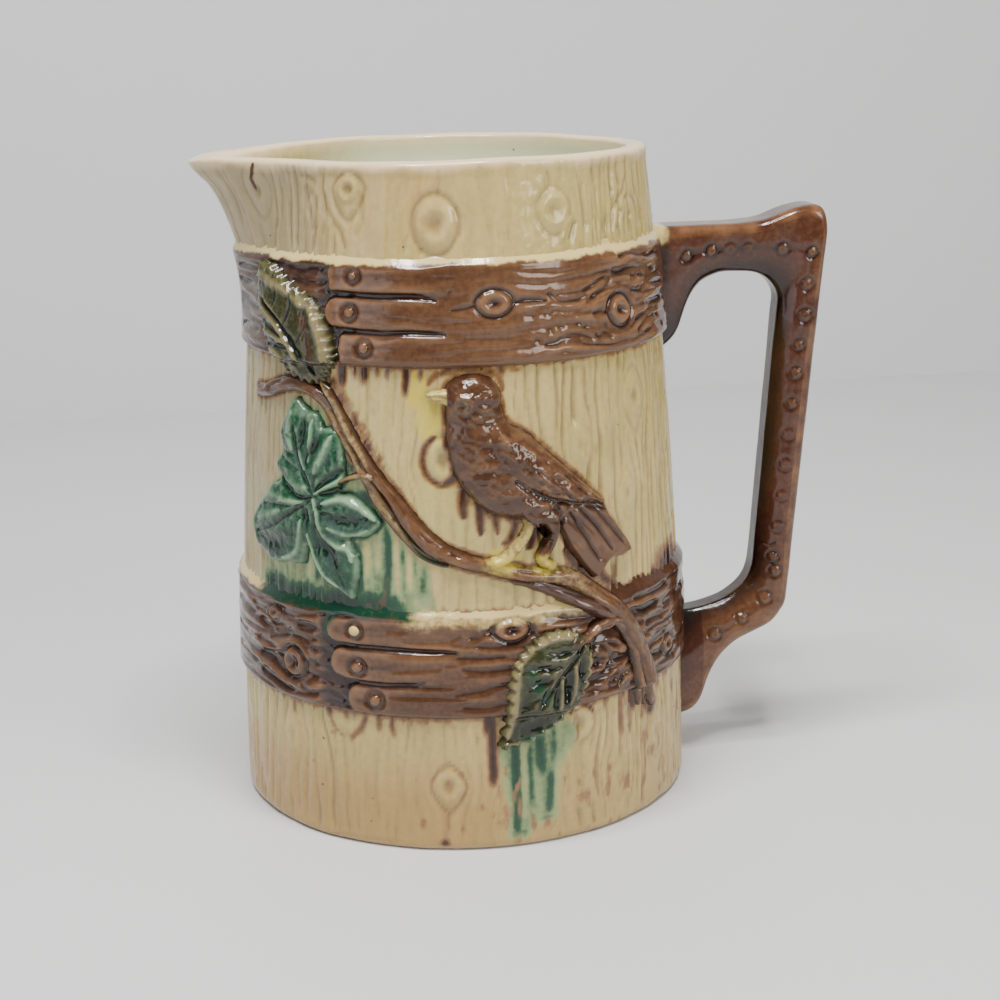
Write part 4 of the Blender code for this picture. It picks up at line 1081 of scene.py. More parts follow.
def bandShape(s, z, label):
    band = bands[label]
    bentZ = z + 0.8 * softNoise(s * 0.05, z * 0.12, 41) + 0.22 * softNoise(s * 0.25, z * 0.4, 42)
    calm = np.ones(s.shape)
    rise = np.zeros(s.shape)
    for centre, size, halo, turn, power, proud in band["knots"]:
        near = (np.abs(s - centre[0]) < 16) & (np.abs(z - centre[1]) < 16)
        ds, dz = s[near] - centre[0], z[near] - centre[1]
        bentZ[near] -= dz * 0.75 * np.exp(-(ds / (halo[0] * 0.9)) ** 2 - (dz / (halo[1] * 1.5)) ** 2)
        ring = ovalDistance(s[near], z[near], centre, size, turn, 2.0)
        edge = ovalDistance(s[near], z[near], centre, (halo[0], 2 * halo[1]), turn, power, halo[2] / halo[1])
        calm[near] *= ease(1.0, 1.4, edge)
        rise[near] += proud * (0.38 * hill(ring, 0.82, 0.26) - 0.62 * hill(ring, 0.0, 0.40)
                               - 0.72 * hill(edge, 0.94, 0.16))
    straightFrom, straightTo = band["straight"]
    wild = ease(straightTo, straightTo + 14, s) + ease(straightFrom, straightFrom - 5, s)
    wild = wild * ease(98.9, 88, np.abs(s)) * (1 - 0.5 * ease(60, 72, s))
    grain = (0.26 * np.tanh(2.4 * softNoise(s * 0.045, bentZ * 0.42, 43))
             + 0.22 * np.tanh(2.6 * softNoise(s * 0.09, bentZ * 0.85, 44))
             + 0.12 * softNoise(s * 0.16, bentZ * 1.9, 45))
    rise += grain * (0.40 + 0.80 * wild) * calm
    cuts = [(line, width * 1.6, depth) for line, width, depth in band["cuts"]]
    rise += strokes(s, z, band["ridges"]) - 0.60 * strokes(s, z, cuts) - 0.65 * blots(s, z, band["dots"])
    strapsHere = np.zeros(s.shape)
    for strap in band["straps"]:
        strapsHere = np.maximum(strapsHere, strapShare(s, z, strap))
    gap = ease(-50, -45.6, s) * ease(-36, -41, s) * (1 - strapsHere)
    rise = rise * (1 - 0.35 * strapsHere) + 0.45 * strapsHere - 1.0 * gap
    for at, up, size in band["rivets"]:
        rise -= 0.7 * hill(np.hypot(s - at, z - up), size + 0.7, 0.7)
    return rise, gap


bandGrid = {"fineColumn": 0.45, "coarseColumn": 1.5, "fineFrom": -1.5, "fineTo": 1.3,
            "row": 0.44, "below": 1.8, "above": 0.6, "backDepth": 2.4, "deepest": -1.25}


def makeBand(label):
    low, high = form[label]
    angles = columnAngles(bandGrid)
    heights = np.arange(low - bandGrid["below"], high + form["ledge"] + bandGrid["above"], bandGrid["row"])
    hidden = np.array([high - 3.0, low + 3.0])  # two rows inside the wall close the band's back
    columns, rows = len(angles) - 1, len(heights) + len(hidden)
    piece = gridPiece(label, columns, rows)
    column, row = gridPlaces(piece, columns, rows)
    shown = row % rows < len(heights)
    angle = angles[column]
    z = np.concatenate([heights, hidden])[row % rows]
    s = foldedSide(angle)
    rise, gap = bandShape(s, z, label)
    share = bandShare(z, label)
    edge = np.minimum(ease(low - 0.4, low + 1.2, z), ease(high + 0.8, high - 1.0, z))
    relief = np.maximum(rise * edge * ease(98.9, 93, np.abs(s)), bandGrid["deepest"])
    hollow, top = hollowsAndTops(relief, columns, 4, 0.50)
    wave = 0.22 * softNoise(s * 0.07, z * 0, 48) * ease(high - 2, high + 1, z)
    lift = -0.6 + (form["bandRise"] + 0.6) * share + relief + wave
    writePoints(piece, turned(angle,
                              wallRadius(z) + lipPush(fromSpout(angle), z)
                              + np.where(shown, lift, -bandGrid["backDepth"]), z))
    uneven = 0.6 * softNoise(s * 0.22, z * 0.3, 46) + 0.3 * softNoise(s * 0.8, z * 0.3, 47)
    isFront = np.abs(angle) <= math.pi / 2
    dim = ease(-46.5, -49, s) if label == "upperBand" else 0.6 * ease(-44, -50, s)
    far = ease(62, 74, s)
    masks = {"poolAndShade": hollow * 0.80 * edge + 0.65 * gap * edge
             + (0.50 if label == "upperBand" else 0.20) * dim + 0.3 * far,
             "worn": top * 0.75 * edge + 0.30 * ease(low + 1.4, low - 0.2, z) - 0.2 * far,
             "cream": ease(high - 0.2 + uneven, high + 1.2 + uneven, z), "green": np.zeros(len(s)),
             "yellow": np.zeros(len(s)), "plum": 0.35 * ease(-44, -58, s) + 0.35 * ease(low + 2.5, low, z)}
    if label == "lowerBand":
        pale = ease(high - 3.4 + 2 * uneven, high - 0.4 + uneven, z) * 0.55 * ease(-30, -18, s)
        masks["cream"] = np.maximum(masks["cream"], pale) * ease(33, 22, s) * np.where(isFront, 1, 0.8)
        masks["worn"] += 0.30 * np.exp(-((s + 16) / 12) ** 2) * ease(44, 56, z)
        run = stroke(s, z, [(-41, 70.5), (-44, 67), (-46.4, 63.6), (-46.8, 60)], 1.3, 0.2)
        flooded = ease(-16, -26, s) * ease(-79, -71, s)
        masks["green"] = run + ease(high - 1.4 + uneven, high + 0.8 + uneven, z) * 0.95 * flooded
    else:
        masks["worn"] += 0.16 + 0.22 * ease(-20, 10, s)
    for name, values in masks.items():
        setMask(piece, name, values)
    mergeAndTurnOut()
    finishPiece(piece, glazes["brown"])
    return piece


for bandLabel in bands:
    bandPiece = makeBand(bandLabel)
    print("band laid", bandLabel, len(bandPiece.data.polygons))

# Rivets: domed heads on the straps
rivet = {"proud": 1.0, "sunk": 0.6, "segments": 20}


def makeRivets(side):
    for label, band in bands.items():
        for index, (s, z, size) in enumerate(band["rivets"]):
            bpy.ops.object.select_all(action="DESELECT")
            bpy.ops.mesh.primitive_uv_sphere_add(segments=rivet["segments"], ring_count=12, radius=1,
                                                 location=(0, 0, 0))
            head = bpy.context.active_object
            head.name = head.data.name = f"{label}Rivet{index + 1}{'Front' if side == front else 'Back'}"
            places = readPoints(head)
            wobble = 1 + 0.08 * softNoise(places[:, 0] * 1.5 + index, places[:, 1] * 1.5, 51)
            high = places[:, 2]
            across = s + places[:, 0] * size * wobble
            up = z + places[:, 1] * size * wobble
            lift = form["bandRise"] + 0.15 + high * np.where(high > 0, rivet["proud"], rivet["sunk"])
            writePoints(head, onWall(across, up, lift, side))
            yellow = 0.9 if (label == "lowerBand" and index == 0 and side == front) else 0.0
            for name, values in (("poolAndShade", ease(0.5, 0.0, high) * 0.7), ("worn", ease(0.2, 0.9, high) * 0.8),
                                 ("cream", yellow * ease(0.0, 0.3, high)),
                                 ("yellow", yellow * 0.4 * ease(0.0, 0.3, high)),
                                 ("green", 0 * high), ("plum", 0 * high)):
                setMask(head, name, values)
            mergeAndTurnOut()
            finishPiece(head, glazes["brown"])


for side in (front, back):
    makeRivets(side)
print("rivets set")

# Leaves: cut veins, hollows where glaze pooled, raised ribs; each (line or place, width, height)
leaves = {
    "ivyLeaf": {
        "base": 1.3, "crown": 1.6, "teeth": (0, 0.0), "glaze": "ivy", "edge": 0.75,
        "veins": [
            ([(-49.6, 99.6), (-52.8, 105.5), (-55.3, 110), (-56.5, 115), (-57.2, 119)], 0.6, 0.9),
            ([(-49.5, 101), (-49, 105), (-47.6, 109)], 0.5, 0.6),
            ([(-49, 101), (-45, 104.6), (-40.6, 107.6), (-37, 107.4)], 0.8, 1.2),
            ([(-47.4, 100.6), (-43, 101.8), (-38, 103)], 0.8, 1.1),
            ([(-50.4, 98.6), (-56, 95.2), (-62, 91.2), (-68, 88), (-75, 85.2)], 0.75, 1.2),
            ([(-50, 99.4), (-55, 98.6), (-60, 101.4), (-63.4, 104)], 0.75, 1.1),
            ([(-54.6, 96.4), (-62, 95.4), (-70, 94.4)], 0.5, 0.5),
            ([(-55, 109.6), (-58.6, 110.6), (-62, 111)], 0.4, 0.35),
            ([(-53.6, 106), (-58, 107.6), (-62, 109)], 0.4, 0.35),
            ([(-56.4, 114), (-60, 116), (-62.6, 117)], 0.4, 0.3),
            ([(-44.6, 86.6), (-42.4, 81), (-40, 75.4)], 0.5, 0.7),
            ([(-58, 93), (-57, 89), (-57.4, 85)], 0.4, 0.35),
            ([(-47, 95.4), (-40, 94.4), (-33, 95)], 0.6, 1.0),
            ([(-44.2, 105), (-44.6, 109), (-44.2, 112)], 0.4, 0.4),
            ([(-42.4, 106), (-42.2, 110), (-42.6, 113)], 0.4, 0.4),
            ([(-48.6, 96), (-49.4, 92), (-48.8, 88)], 0.5, 0.6),
        ],
        "hollows": [
            ((-67, 84), (17, 6), 14, 1.2), ((-72, 84.6), (7, 4), 10, 0.9), ((-39.4, 94), (14, 3.2), 0, 1.2),
            ((-44.4, 84.4), (4.6, 12), 28, 1.3), ((-48.2, 86), (2.4, 7), 8, 0.8),
            ((-49.8, 112.6), (2.4, 7.4), -32, 1.3), ((-53.6, 116.4), (2.6, 10), -6, 1.0),
            ((-52.2, 94), (2.8, 6), 12, 1.0), ((-50.6, 120.6), (2, 3), 0, 0.5),
            ((-58, 104.4), (7, 3), -20, 0.35), ((-40, 103.4), (7, 2), 14, 0.7),
            ((-63.6, 97), (4, 2), 10, 0.4), ((-46, 120), (3, 3), 0, 0.4), ((-47.6, 96.8), (2, 3), 0, 0.5),
        ],
        "ribs": [
            ([(-48.8, 100.6), (-43.4, 103.4), (-38, 105.8), (-34, 106.6)], 0.75, 0.9),
            ([(-49, 99), (-47.6, 93), (-46, 89), (-42.6, 86.8), (-39, 86), (-37.6, 82.6)], 1.0, 0.8),
            ([(-46.6, 98), (-40.4, 99.6), (-35.4, 97.8), (-31, 94.6)], 1.0, 0.8),
            ([(-45, 91.6), (-38.4, 89.8), (-33, 91.8)], 0.8, 0.4),
            ([(-50.8, 109), (-50.4, 115), (-50.4, 120.6)], 0.7, 0.8),
            ([(-49, 106), (-46, 112), (-43.6, 116.8)], 1.1, 0.8),
            ([(-52, 106.6), (-53.4, 109.4), (-54.4, 112)], 0.5, 0.5),
            ([(-57, 111.6), (-59, 116), (-58, 122)], 1.2, 0.5),
            ([(-51, 102), (-56, 102.4), (-60, 106)], 1.4, 0.4),
            ([(-52, 97.4), (-60, 97), (-67, 97.4), (-71.4, 95)], 1.1, 0.5),
            ([(-53.6, 92.6), (-54.6, 87), (-56.6, 82.4), (-62, 80)], 1.0, 0.6),
            ([(-51.4, 89), (-49.6, 83), (-46.6, 78), (-42, 75)], 0.7, 0.7),
            ([(-73, 93), (-76.4, 88.4), (-74.6, 81.6)], 0.9, 0.5),
            ([(-62, 93.8), (-68, 91.6), (-74, 89.4)], 1.0, 0.4),
        ],
        "tints": {"green": [
            ([(-59, 122), (-54, 122), (-50, 120)], 2.0, 0.5), ([(-42, 99.4), (-35, 98)], 1.2, 0.5),
        ],
                  "brown": [([(-59.6, 125.4), (-56, 125.6), (-51, 122.8)], 1.0, 0.6)], "cream": []},
    },
    "upperLeaf": {
        "base": 1.5, "crown": 1.5, "teeth": (34, 0.55), "glaze": "leaf", "edge": 0.35,
        "veins": [
            ([(-49.4, 133), (-54, 139), (-59, 144), (-64.4, 147.8), (-71, 151.8)], 0.85, 1.5),
            ([(-72, 147.4), (-66, 144.6), (-60.6, 142.6)], 0.6, 0.9),
            ([(-72, 141), (-65, 139.8), (-58, 139.6)], 0.7, 1.0),
            ([(-66, 136.6), (-60, 135.8), (-54, 136)], 0.55, 0.7),
            ([(-54.4, 141), (-52, 146), (-51.6, 151)], 0.5, 0.6),
            ([(-59.6, 146), (-57.4, 150), (-57.6, 154.4)], 0.5, 0.6),
            ([(-65, 149.6), (-63.6, 153), (-64, 157)], 0.45, 0.5),
        ],
        "hollows": [
            ((-66, 141.6), (11, 3), 8, 0.7), ((-69, 146), (6, 2.4), 26, 0.6), ((-51, 142), (3, 10), 8, 0.6),
            ((-57.4, 136.4), (7, 2), 0, 0.5), ((-69.6, 156.6), (5, 3), -10, 0.5),
        ],
        "ribs": [
            ([(-70, 149.4), (-63.4, 145.6), (-58.6, 141.6), (-54, 136.4)], 0.7, 0.6),
            ([(-69.4, 143.4), (-63, 142.2), (-58, 141)], 0.7, 0.5),
            ([(-51, 135.6), (-56, 141.6), (-62, 147.6), (-68, 151.6)], 0.7, 0.4),
            ([(-45.4, 137), (-46.4, 143), (-49.6, 149.4)], 1.3, 0.9),
            ([(-72.6, 158), (-66, 156.4), (-58, 154.4), (-52.6, 151)], 1.1, 0.6),
            ([(-70, 138.6), (-62, 137.6), (-55, 133)], 0.8, 0.4),
        ],
        "tints": {"brown": [([(-49, 135), (-50.4, 142), (-53, 149)], 2.0, 0.7)],
                  "cream": [
                      ([(-44.4, 137), (-45.6, 143), (-49.6, 150), (-55, 154)], 1.5, 0.75),
                      ([(-70, 149.6), (-63, 145.8), (-58, 141.4)], 0.7, 0.5),
                      ([(-73, 159), (-66, 157.4), (-59, 155)], 1.2, 0.6),
                  ],
                  "green": [([(-73, 156), (-72, 149)], 1.5, 0.4)]},
    },
    "lowerLeaf": {
        "base": 1.6, "crown": 1.5, "teeth": (30, 0.6), "glaze": "leaf", "edge": 0.35,
        "veins": [
            ([(23.2, 57.6), (18.4, 52.4), (15, 48.6), (11.4, 42.6)], 0.7, 1.4),
            ([(20.6, 56.6), (16.6, 56.4), (13, 57)], 0.5, 0.8),
            ([(16.4, 52.6), (12, 52.4), (8.2, 53)], 0.55, 0.9),
            ([(14, 49.4), (10, 48.2), (7.4, 47)], 0.55, 0.8), ([(12, 45), (8, 43.6), (5.4, 41)], 0.5, 0.6),
        ],
        "hollows": [
            ((12, 44.8), (2.6, 7.4), -28, 1.1), ((14.8, 44), (2.2, 8), -6, 1.0),
            ((17.9, 46.6), (3.0, 8), -6, 1.5), ((22, 50.6), (2.0, 7.4), -4, 1.0),
            ((11.4, 52.8), (8, 2.2), 0, 1.0), ((10.2, 48.6), (6.6, 3.2), 10, 1.2),
            ((17, 56.2), (7, 2), 8, 0.9), ((7, 44), (4, 7), -10, 0.7), ((9.4, 36.6), (14, 5), 24, 0.8),
            ((7.4, 39.6), (6, 4), 0, 0.6),
        ],
        "ribs": [
            ([(21.4, 55.6), (16.4, 50.8), (12.8, 46.4)], 0.6, 0.6),
            ([(5.2, 55), (4.6, 50), (4, 44), (3.2, 38), (2, 33)], 1.1, 0.8),
            ([(20, 52.4), (20, 47), (18.4, 41.4)], 0.6, 0.6),
            ([(16.2, 49.6), (16.4, 45), (15.6, 40.4)], 0.5, 0.6),
            ([(24.6, 55), (24.6, 49.6), (22.6, 44)], 0.7, 0.6),
            ([(1.6, 31.6), (8, 32.2), (14, 35), (19, 39.4)], 0.8, 0.5),
            ([(9.6, 58.6), (14, 60.8), (20, 60.2)], 0.9, 0.6),
        ],
        "tints": {"brown": [
            ([(22.4, 60), (20, 59), (24, 57.4)], 1.5, 0.5), ([(24, 47), (21.6, 42)], 1.3, 0.4),
        ],
                  "cream": [
                      ([(9.4, 58.8), (5.6, 54.6), (4.2, 49), (3.6, 43), (3, 39)], 1.3, 0.8),
                      ([(21, 61), (15.4, 61.4), (10.6, 59.4)], 1.2, 0.85),
                      ([(25, 55), (24.8, 50)], 0.9, 0.6),
                  ],
                  "green": [
                      ([(5, 31.8), (12, 34), (18, 38.6)], 1.4, 0.6),
                      ([(7, 54), (10, 48), (14, 42)], 2.8, 0.5), ([(12, 57), (14, 54)], 2.2, 0.4),
                  ]},
    },
}


def leafShape(label):
    leaf = leaves[label]
    count, depth = leaf["teeth"]

    def shapeOf(s, z):
        inside, along = insideDistance(s, z, rings[label])
        if count:
            saw = (along * count) % 1.0
            bite = depth * (ease(0, 0.75, saw) * ease(1.0, 0.75, saw) * 2 - 1)
        else:
            bite = 0.4 * softNoise(along * 90, along * 0 + 0.5, 61)
        inside = inside + bite * ease(3, 0.5, np.abs(inside))
        lift = leaf["base"] * ease(-0.5, 0.75, inside)
        lift = lift + leaf["crown"] * (1 - np.exp(-np.maximum(inside, 0) / 3.0))
        veins = [(line, width * 1.5, deep) for line, width, deep in leaf["veins"]]
        cut = np.maximum(0.75 * strokes(s, z, veins), blots(s, z, leaf["hollows"]))
        # the glaze pooled wider than the hollows themselves
        wide = [(place, (size[0] * 1.5, size[1] * 1.8), turn, share)
                for place, size, turn, share in leaf["hollows"]]
        pooled = np.maximum(0.95 * cut, 0.85 * blots(s, z, wide))
        ribs = strokes(s, z, leaf["ribs"])
        cloth = 0.14 * softNoise(s * 0.7, z * 0.7, 62) + 0.05 * softNoise(s * 2, z * 2, 63)
        detail = (ribs - cut + cloth) * ease(-0.2, 0.9, inside)
        sunk = 1.3 * (1 - ease(-0.9, -0.1, inside))
        edgeLight = hill(inside, 0.6, 0.7) * (0.6 + 0.3 * softNoise(s * 0.4, z * 0.4, 64))
        masks = {tint: strokes(s, z, lines, 0.3) for tint, lines in leaf["tints"].items()}
        masks["poolAndShade"] = pooled + 0.35 * (1 - ease(-0.3, 0.15, inside)) - 0.35 * ribs - 0.3 * edgeLight
        masks["worn"] = ribs * 0.7 + leaf["edge"] * edgeLight + 0.04
        return ground(z) + lift + detail - sunk, detail, masks, inside > -0.8
    return shapeOf


def boxAround(points, margin=1.6):
    places = np.array(points, float)
    return places[:, :2].min(0) - margin, places[:, :2].max(0) + margin


leafStep = {front: 0.28, back: 0.5}  # grid step, coarser on the side that the photo doesn't show
for side, step in leafStep.items():
    for leafLabel, leaf in leaves.items():
        name = leafLabel + ("Front" if side == front else "Back")
        reliefTile(name, boxAround(outlines[leafLabel]), step, side, leafShape(leafLabel),
                   glazes[leaf["glaze"]])
print("leaves laid")

shoots = {
    "branchSideRidge": {"path": sideRidgePath,
                        "halves": [1.8, 2.2, 2.3, 2.2, 2.0, 1.9, 1.8, 1.8, 1.9, 2.1, 2.0, 1.7, 1.4, 0.8],
                        "high": 0.85},
    "branch": {"path": branchPath, "halves": [
        1.3, 1.6, 1.6, 1.7, 1.8, 2.2, 2.6, 2.7, 2.4, 2.3, 2.3, 2.4, 2.7, 3.0, 3.2, 3.1, 2.9, 2.6, 1.8, 0.8,
    ], "high": 1.0},
    "branchLowRidge": {"path": lowRidgePath, "halves": [0.8, 1.7, 2.2, 2.3, 2.2, 2.0, 1.9, 1.8, 1.7, 0.8],
                       "high": 0.9},
    "twig": {"path": [(37, 61.5), (33, 62.2), (28, 61.2), (24.5, 58.9), (22.4, 56.8)],
             "halves": [1.6, 1.9, 1.9, 1.6, 1.0], "high": 1.35},
    "leafStalk": {"path": [(-31.4, 106), (-33.6, 106.8), (-38, 105.8), (-43.4, 103.4), (-48.8, 100.4)],
                  "halves": [1.2, 1.2, 1.0, 0.9, 0.6], "high": 2.3},
    "forkTip": {"path": [(47, 41), (46.6, 37), (47.4, 33)], "halves": [1.2, 1.0, 0.5], "high": 1.0},
}


def shootShape(label):
    shoot = shoots[label]
    run = smoothRun([(*place, half) for place, half in zip(shoot["path"], shoot["halves"])], 6)

    def shapeOf(s, z):
        away, along = lineDistance(s, z, run[:, :2])[:2]
        half = np.interp(along * (len(run) - 1), np.arange(len(run)), run[:, 2])
        half = half * (1 + 0.12 * softNoise(along * 30, along * 0 + 0.5, 71))
        half = half * ease(-0.01, 0.035, along) ** 0.5
        half = half * ease(1.01, 0.975, along) ** 0.5 + 1e-3
        across = away / half
        nearest = np.clip(np.rint(along * (len(run) - 1)).astype(int), 0, len(run) - 2)
        direction = run[nearest + 1, :2] - run[nearest, :2]
        sideways = np.sign(direction[:, 0] * (z - run[nearest, 1]) - direction[:, 1] * (s - run[nearest, 0]))
        length = along * len(run) * 1.5
        bark = 0.42 * softNoise(across * sideways * 2.0 + 9, length * 0.14, 72)
        bark += 0.22 * softNoise(across * sideways * 5 + 9, length * 0.3, 73)
        cut = 0.40 * hill(across * sideways, 0.3, 0.16) * ease(0.05, 0.15, along)
        cut = cut * ease(-0.2, 0.4, softNoise(length * 0.2, length * 0, 74))
        body = shoot["high"] * np.minimum(half, 2.9) * np.sqrt(np.clip(1 - across ** 2, 0, 1)) ** 1.25
        detail = (bark - cut) * ease(1.1, 0.6, across)
        sunk = 1.5 * ease(0.92, 1.35, across)
        masks = {"poolAndShade": 0.75 * ease(0.66, 1.02, across) + 0.3 * cut,
                 "worn": 0.35 * hill(across, 0.1, 0.5) + 0.05,
                 "cream": np.zeros(s.shape), "yellow": np.zeros(s.shape), "green": np.zeros(s.shape),
                 "plum": np.zeros(s.shape)}
        if label == "branch":
            masks["yellow"] = 0.95 * np.exp(-((s - 2.6) / 4.4) ** 2 - ((z - 82.4) / 2.6) ** 2)
            masks["yellow"] += 0.85 * np.exp(-((s - 13.8) / 3.4) ** 2 - ((z - 80.4) / 2.2) ** 2)
            masks["cream"] = 0.36 * ease(-31, -35, s) * hill(across, 0.1, 0.5) + 0.25 * hill(s, 20, 9)
            masks["green"] = 0.16 * ease(-20, -34, s) * ease(0.2, 0.8, across)
            masks["poolAndShade"] += 0.15 * ease(-18, -30, s)
        if label == "branchSideRidge":
            masks["cream"] = 0.28 * ease(-50, -44, s) * hill(across, 0, 0.6) * ease(-16, -22, s)
            masks["green"] = 0.25 * ease(-52, -44, s) + 0.3 * ease(-26, -18, s)
            masks["plum"] = 0.5 * ease(-50, -58, s)
        if label == "branchLowRidge":
            masks["plum"] = 0.75 * ease(36, 28, s)
            masks["worn"] += 0.2 * ease(34, 28, s)
        if label == "leafStalk":
            masks["green"] = 0.45 * ease(-35, -40, s)
            masks["cream"] = 0.35 * hill(across, 0, 0.6)
        return ground(z) + body + detail - sunk, detail + 0.2 * body, masks, across < 1.45
    return shapeOf


shootStep = {front: 0.3, back: 0.55}
for side, step in shootStep.items():
    for shootLabel, shoot in shoots.items():
        name = shootLabel + ("Front" if side == front else "Back")
        reliefTile(name, boxAround(shoot["path"], 5), step, side, shootShape(shootLabel), glazes["branch"])
print("branch laid")


# The bird, seen from its left side

def roundLift(inside, width, high):
    share = np.clip(inside / width, 0, 1)
    return high * np.sqrt(1 - (1 - share) ** 2)


birdLegs = {"left": ([(8.6, 96.4), (10.0, 92.8), (8.2, 89), (5.4, 86), (2.6, 84)], 1.5),
            "right": ([(15.6, 93), (16.6, 90.6), (15.4, 87), (13, 83.4)], 1.7),
            "leftFoot": ([(6, 86.4), (3.4, 84), (0.6, 83)], 1.6),
            "rightFoot": ([(13.4, 84.6), (13, 82.4), (15.6, 80.8)], 1.5)}
birdPatches = [
    ((-3, 107), (7, 3), -6, 0.7), ((2.6, 105), (6, 3.4), 10, 0.7), ((-5.6, 113), (6, 3), 0, 0.5),
    ((2.4, 112), (6, 3), 0, 0.35), ((-7.8, 119.4), (5, 3), 0, 0.5), ((19, 104), (8, 3), -36, 0.5),
    ((-2, 121.6), (8, 2.4), 0, 0.4), ((12, 105.6), (7, 3), -30, 0.4), ((25.6, 91), (5, 6), 40, 0.6),
    ((30, 90), (3.4, 5), 40, 0.5), ((26, 84.6), (3, 8), 40, 0.35),
]


def birdShape(s, z):
    body, tail, wing, thigh = (insideDistance(s, z, rings["bird" + part])[0]
                               for part in ("Body", "Tail", "Wing", "Thigh"))
    head = ovalDistance(s, z, (-4.2, 127.4), (15.4, 13.2), 10)
    lift = np.maximum(roundLift(body, 8.5, 4.6), 5.0 * np.sqrt(np.clip(1 - head ** 2, 0, 1)))
    neck = stroke(s, z, [(-12, 121.8), (-6, 121), (0, 121.4), (4, 122.6)], 1.6)
    lift -= 0.35 * neck
    # the wing swells out of the back and ends in a clear lower edge
    shoulder = ease(-1.0, 4.0, wing) * 0.9 + roundLift(wing, 6, 0.8)
    lowerEdge = stroke(s, z, [(5.6, 105.8), (8.4, 103.4), (12.4, 101), (18, 98.5), (25, 96.4), (33, 94)],
                       1.0, 0.35)
    alongWing = (s - 2) * 0.75 - (z - 116) * 0.66
    acrossWing = (s - 2) * 0.66 + (z - 116) * 0.75
    quills = np.abs((acrossWing * 0.30 + 0.12 * softNoise(alongWing * 0.2, acrossWing * 0.3, 81)) % 1 - 0.5)
    quills = hill(quills, 0.5, 0.12) * ease(9, 18, alongWing) * ease(0.4, 1.6, wing)
    fluff = 0.30 * softNoise(s * 0.5 + z * 0.2, z * 0.6, 83) + 0.14 * softNoise(s * 1.3, z * 1.3, 84)
    barbs = softNoise(alongWing * 0.30, acrossWing * 0.95, 87) * ease(0.0, 2.0, wing)
    detail = fluff * ease(0.2, 1.4, body) + 0.30 * barbs - 0.40 * quills
    lift += shoulder * ease(-1, 1, body)
    acrossTail = (s - 25) * 0.72 + (z - 90) * 0.70
    tailLift = 2.3 * ease(-0.4, 1.0, tail) + 0.22 * softNoise(acrossTail * 0.9, (s - z) * 0.06, 85)
    tailCut = strokes(s, z, [
        ([(21.4, 95), (25.4, 88), (30, 80)], 0.7, 0.7),
        ([(24.4, 95.6), (29.6, 89.4), (34.6, 82)], 0.7, 0.8), ([(29, 95), (34, 89), (39, 83)], 0.6, 0.6),
    ], 0.3)
    lift = np.where((tail > -0.6) & (wing < 0.1), np.maximum(np.where(body > 0, lift * 0.6, 0), tailLift),
                    lift)
    detail -= 0.8 * tailCut * ease(0, 1, tail) * (wing < 0.2)
    lift = np.maximum(lift, (3.4 + roundLift(thigh, 3.2, 1.6)) * ease(-0.4, 1.0, thigh))
    legs = np.zeros(s.shape)
    for points, half in birdLegs.values():
        away = lineDistance(s, z, smoothRun(points, 4))[0]
        legs = np.maximum(legs, np.sqrt(np.clip(1 - (away / half) ** 2, 0, 1)) * (1.5 + half))
    beakRun = smoothRun([(-9.5, 128.2, 2.3), (-12.5, 128.3, 2.0), (-15.0, 128.7, 1.3), (-16.2, 129, 0.7)], 4)
    away, share = lineDistance(s, z, beakRun[:, :2])[:2]
    half = np.interp(share * (len(beakRun) - 1), np.arange(len(beakRun)), beakRun[:, 2])
    beak = np.sqrt(np.clip(1 - (away / half) ** 2, 0, 1)) * 2.5
    beak -= 0.5 * stroke(s, z, [(-16, 128.6), (-13, 128.4), (-10.5, 128)], 0.35)
    eye = np.hypot(s + 6.8, z - 126.6)
    detail += 0.4 * hill(eye, 2.0, 0.7) - 0.35 * hill(eye, 0, 1.1) + 0.2 * hill(eye, 0, 0.4)
    crease = np.maximum(lowerEdge, 0.8 * hill(thigh, -0.6, 0.7) * (body > 0) * (s > 12) * (z < 99))
    detail -= 0.65 * crease
    edge = np.maximum(np.maximum(body, tail), np.maximum(wing, (1 - head) * 6))
    lift = np.maximum(np.maximum(lift, legs), beak)
    shown = np.maximum(edge, np.where(np.maximum(legs, beak) > 0.05, 0.5, -9))
    sunk = 1.4 * (1 - ease(-0.9, 0.0, shown))
    isBeak = ease(0.1, 0.5, beak) * ease(-10.6, -11.6, s)
    isLeg = (legs > 0.3) * ease(0.8, 0.2, np.maximum(body, thigh))
    patches = blots(s, z, birdPatches)
    poolAndShade = 0.6 * crease + 0.35 * quills + 0.5 * tailCut * (tail > 0)
    poolAndShade = poolAndShade + 0.45 * ease(1.2, 0.0, shown) + 0.42 * patches
    poolAndShade += 0.30 * hill(eye, 1.2, 0.9) + 0.22 * neck + 0.04
    worn = 0.34 * ease(-0.2, 0.6, softNoise(s * 0.3, z * 0.4, 86))
    worn = worn + 0.40 * (tail > 0) * (wing < 0) * (1 - tailCut)
    worn += 0.35 * ease(0.5, 4, wing) * ease(6, 22, s) + 0.25 * np.maximum(barbs, 0) - 0.3 * patches
    # painted reflection: the first term gives the lower belly a dull purple-grey sheen
    plum = 0.50 * ease(104, 97, z) * (s < 12) * (tail < 0) + 0.5 * ease(-6.5, -10, s) * ease(127, 118, z)
    plum += 0.3 * (tail > 0) * (wing < 0)
    masks = {"poolAndShade": poolAndShade * (1 - isBeak) * (1 - 0.7 * isLeg), "worn": worn,
             "plum": plum * (1 - isBeak) * (1 - isLeg),
             "yellow": 0.42 * isBeak + 0.30 * isLeg * ease(12.4, 9, s) + 0.6 * isLeg * ease(85.4, 83, z)
             + 0.20 * hill(eye, 0.8, 0.8),
             "cream": 0.50 * isBeak + 0.50 * isLeg * ease(12.4, 9, s), "green": np.zeros(s.shape)}
    return lift + detail - sunk, detail, masks, shown > -0.75


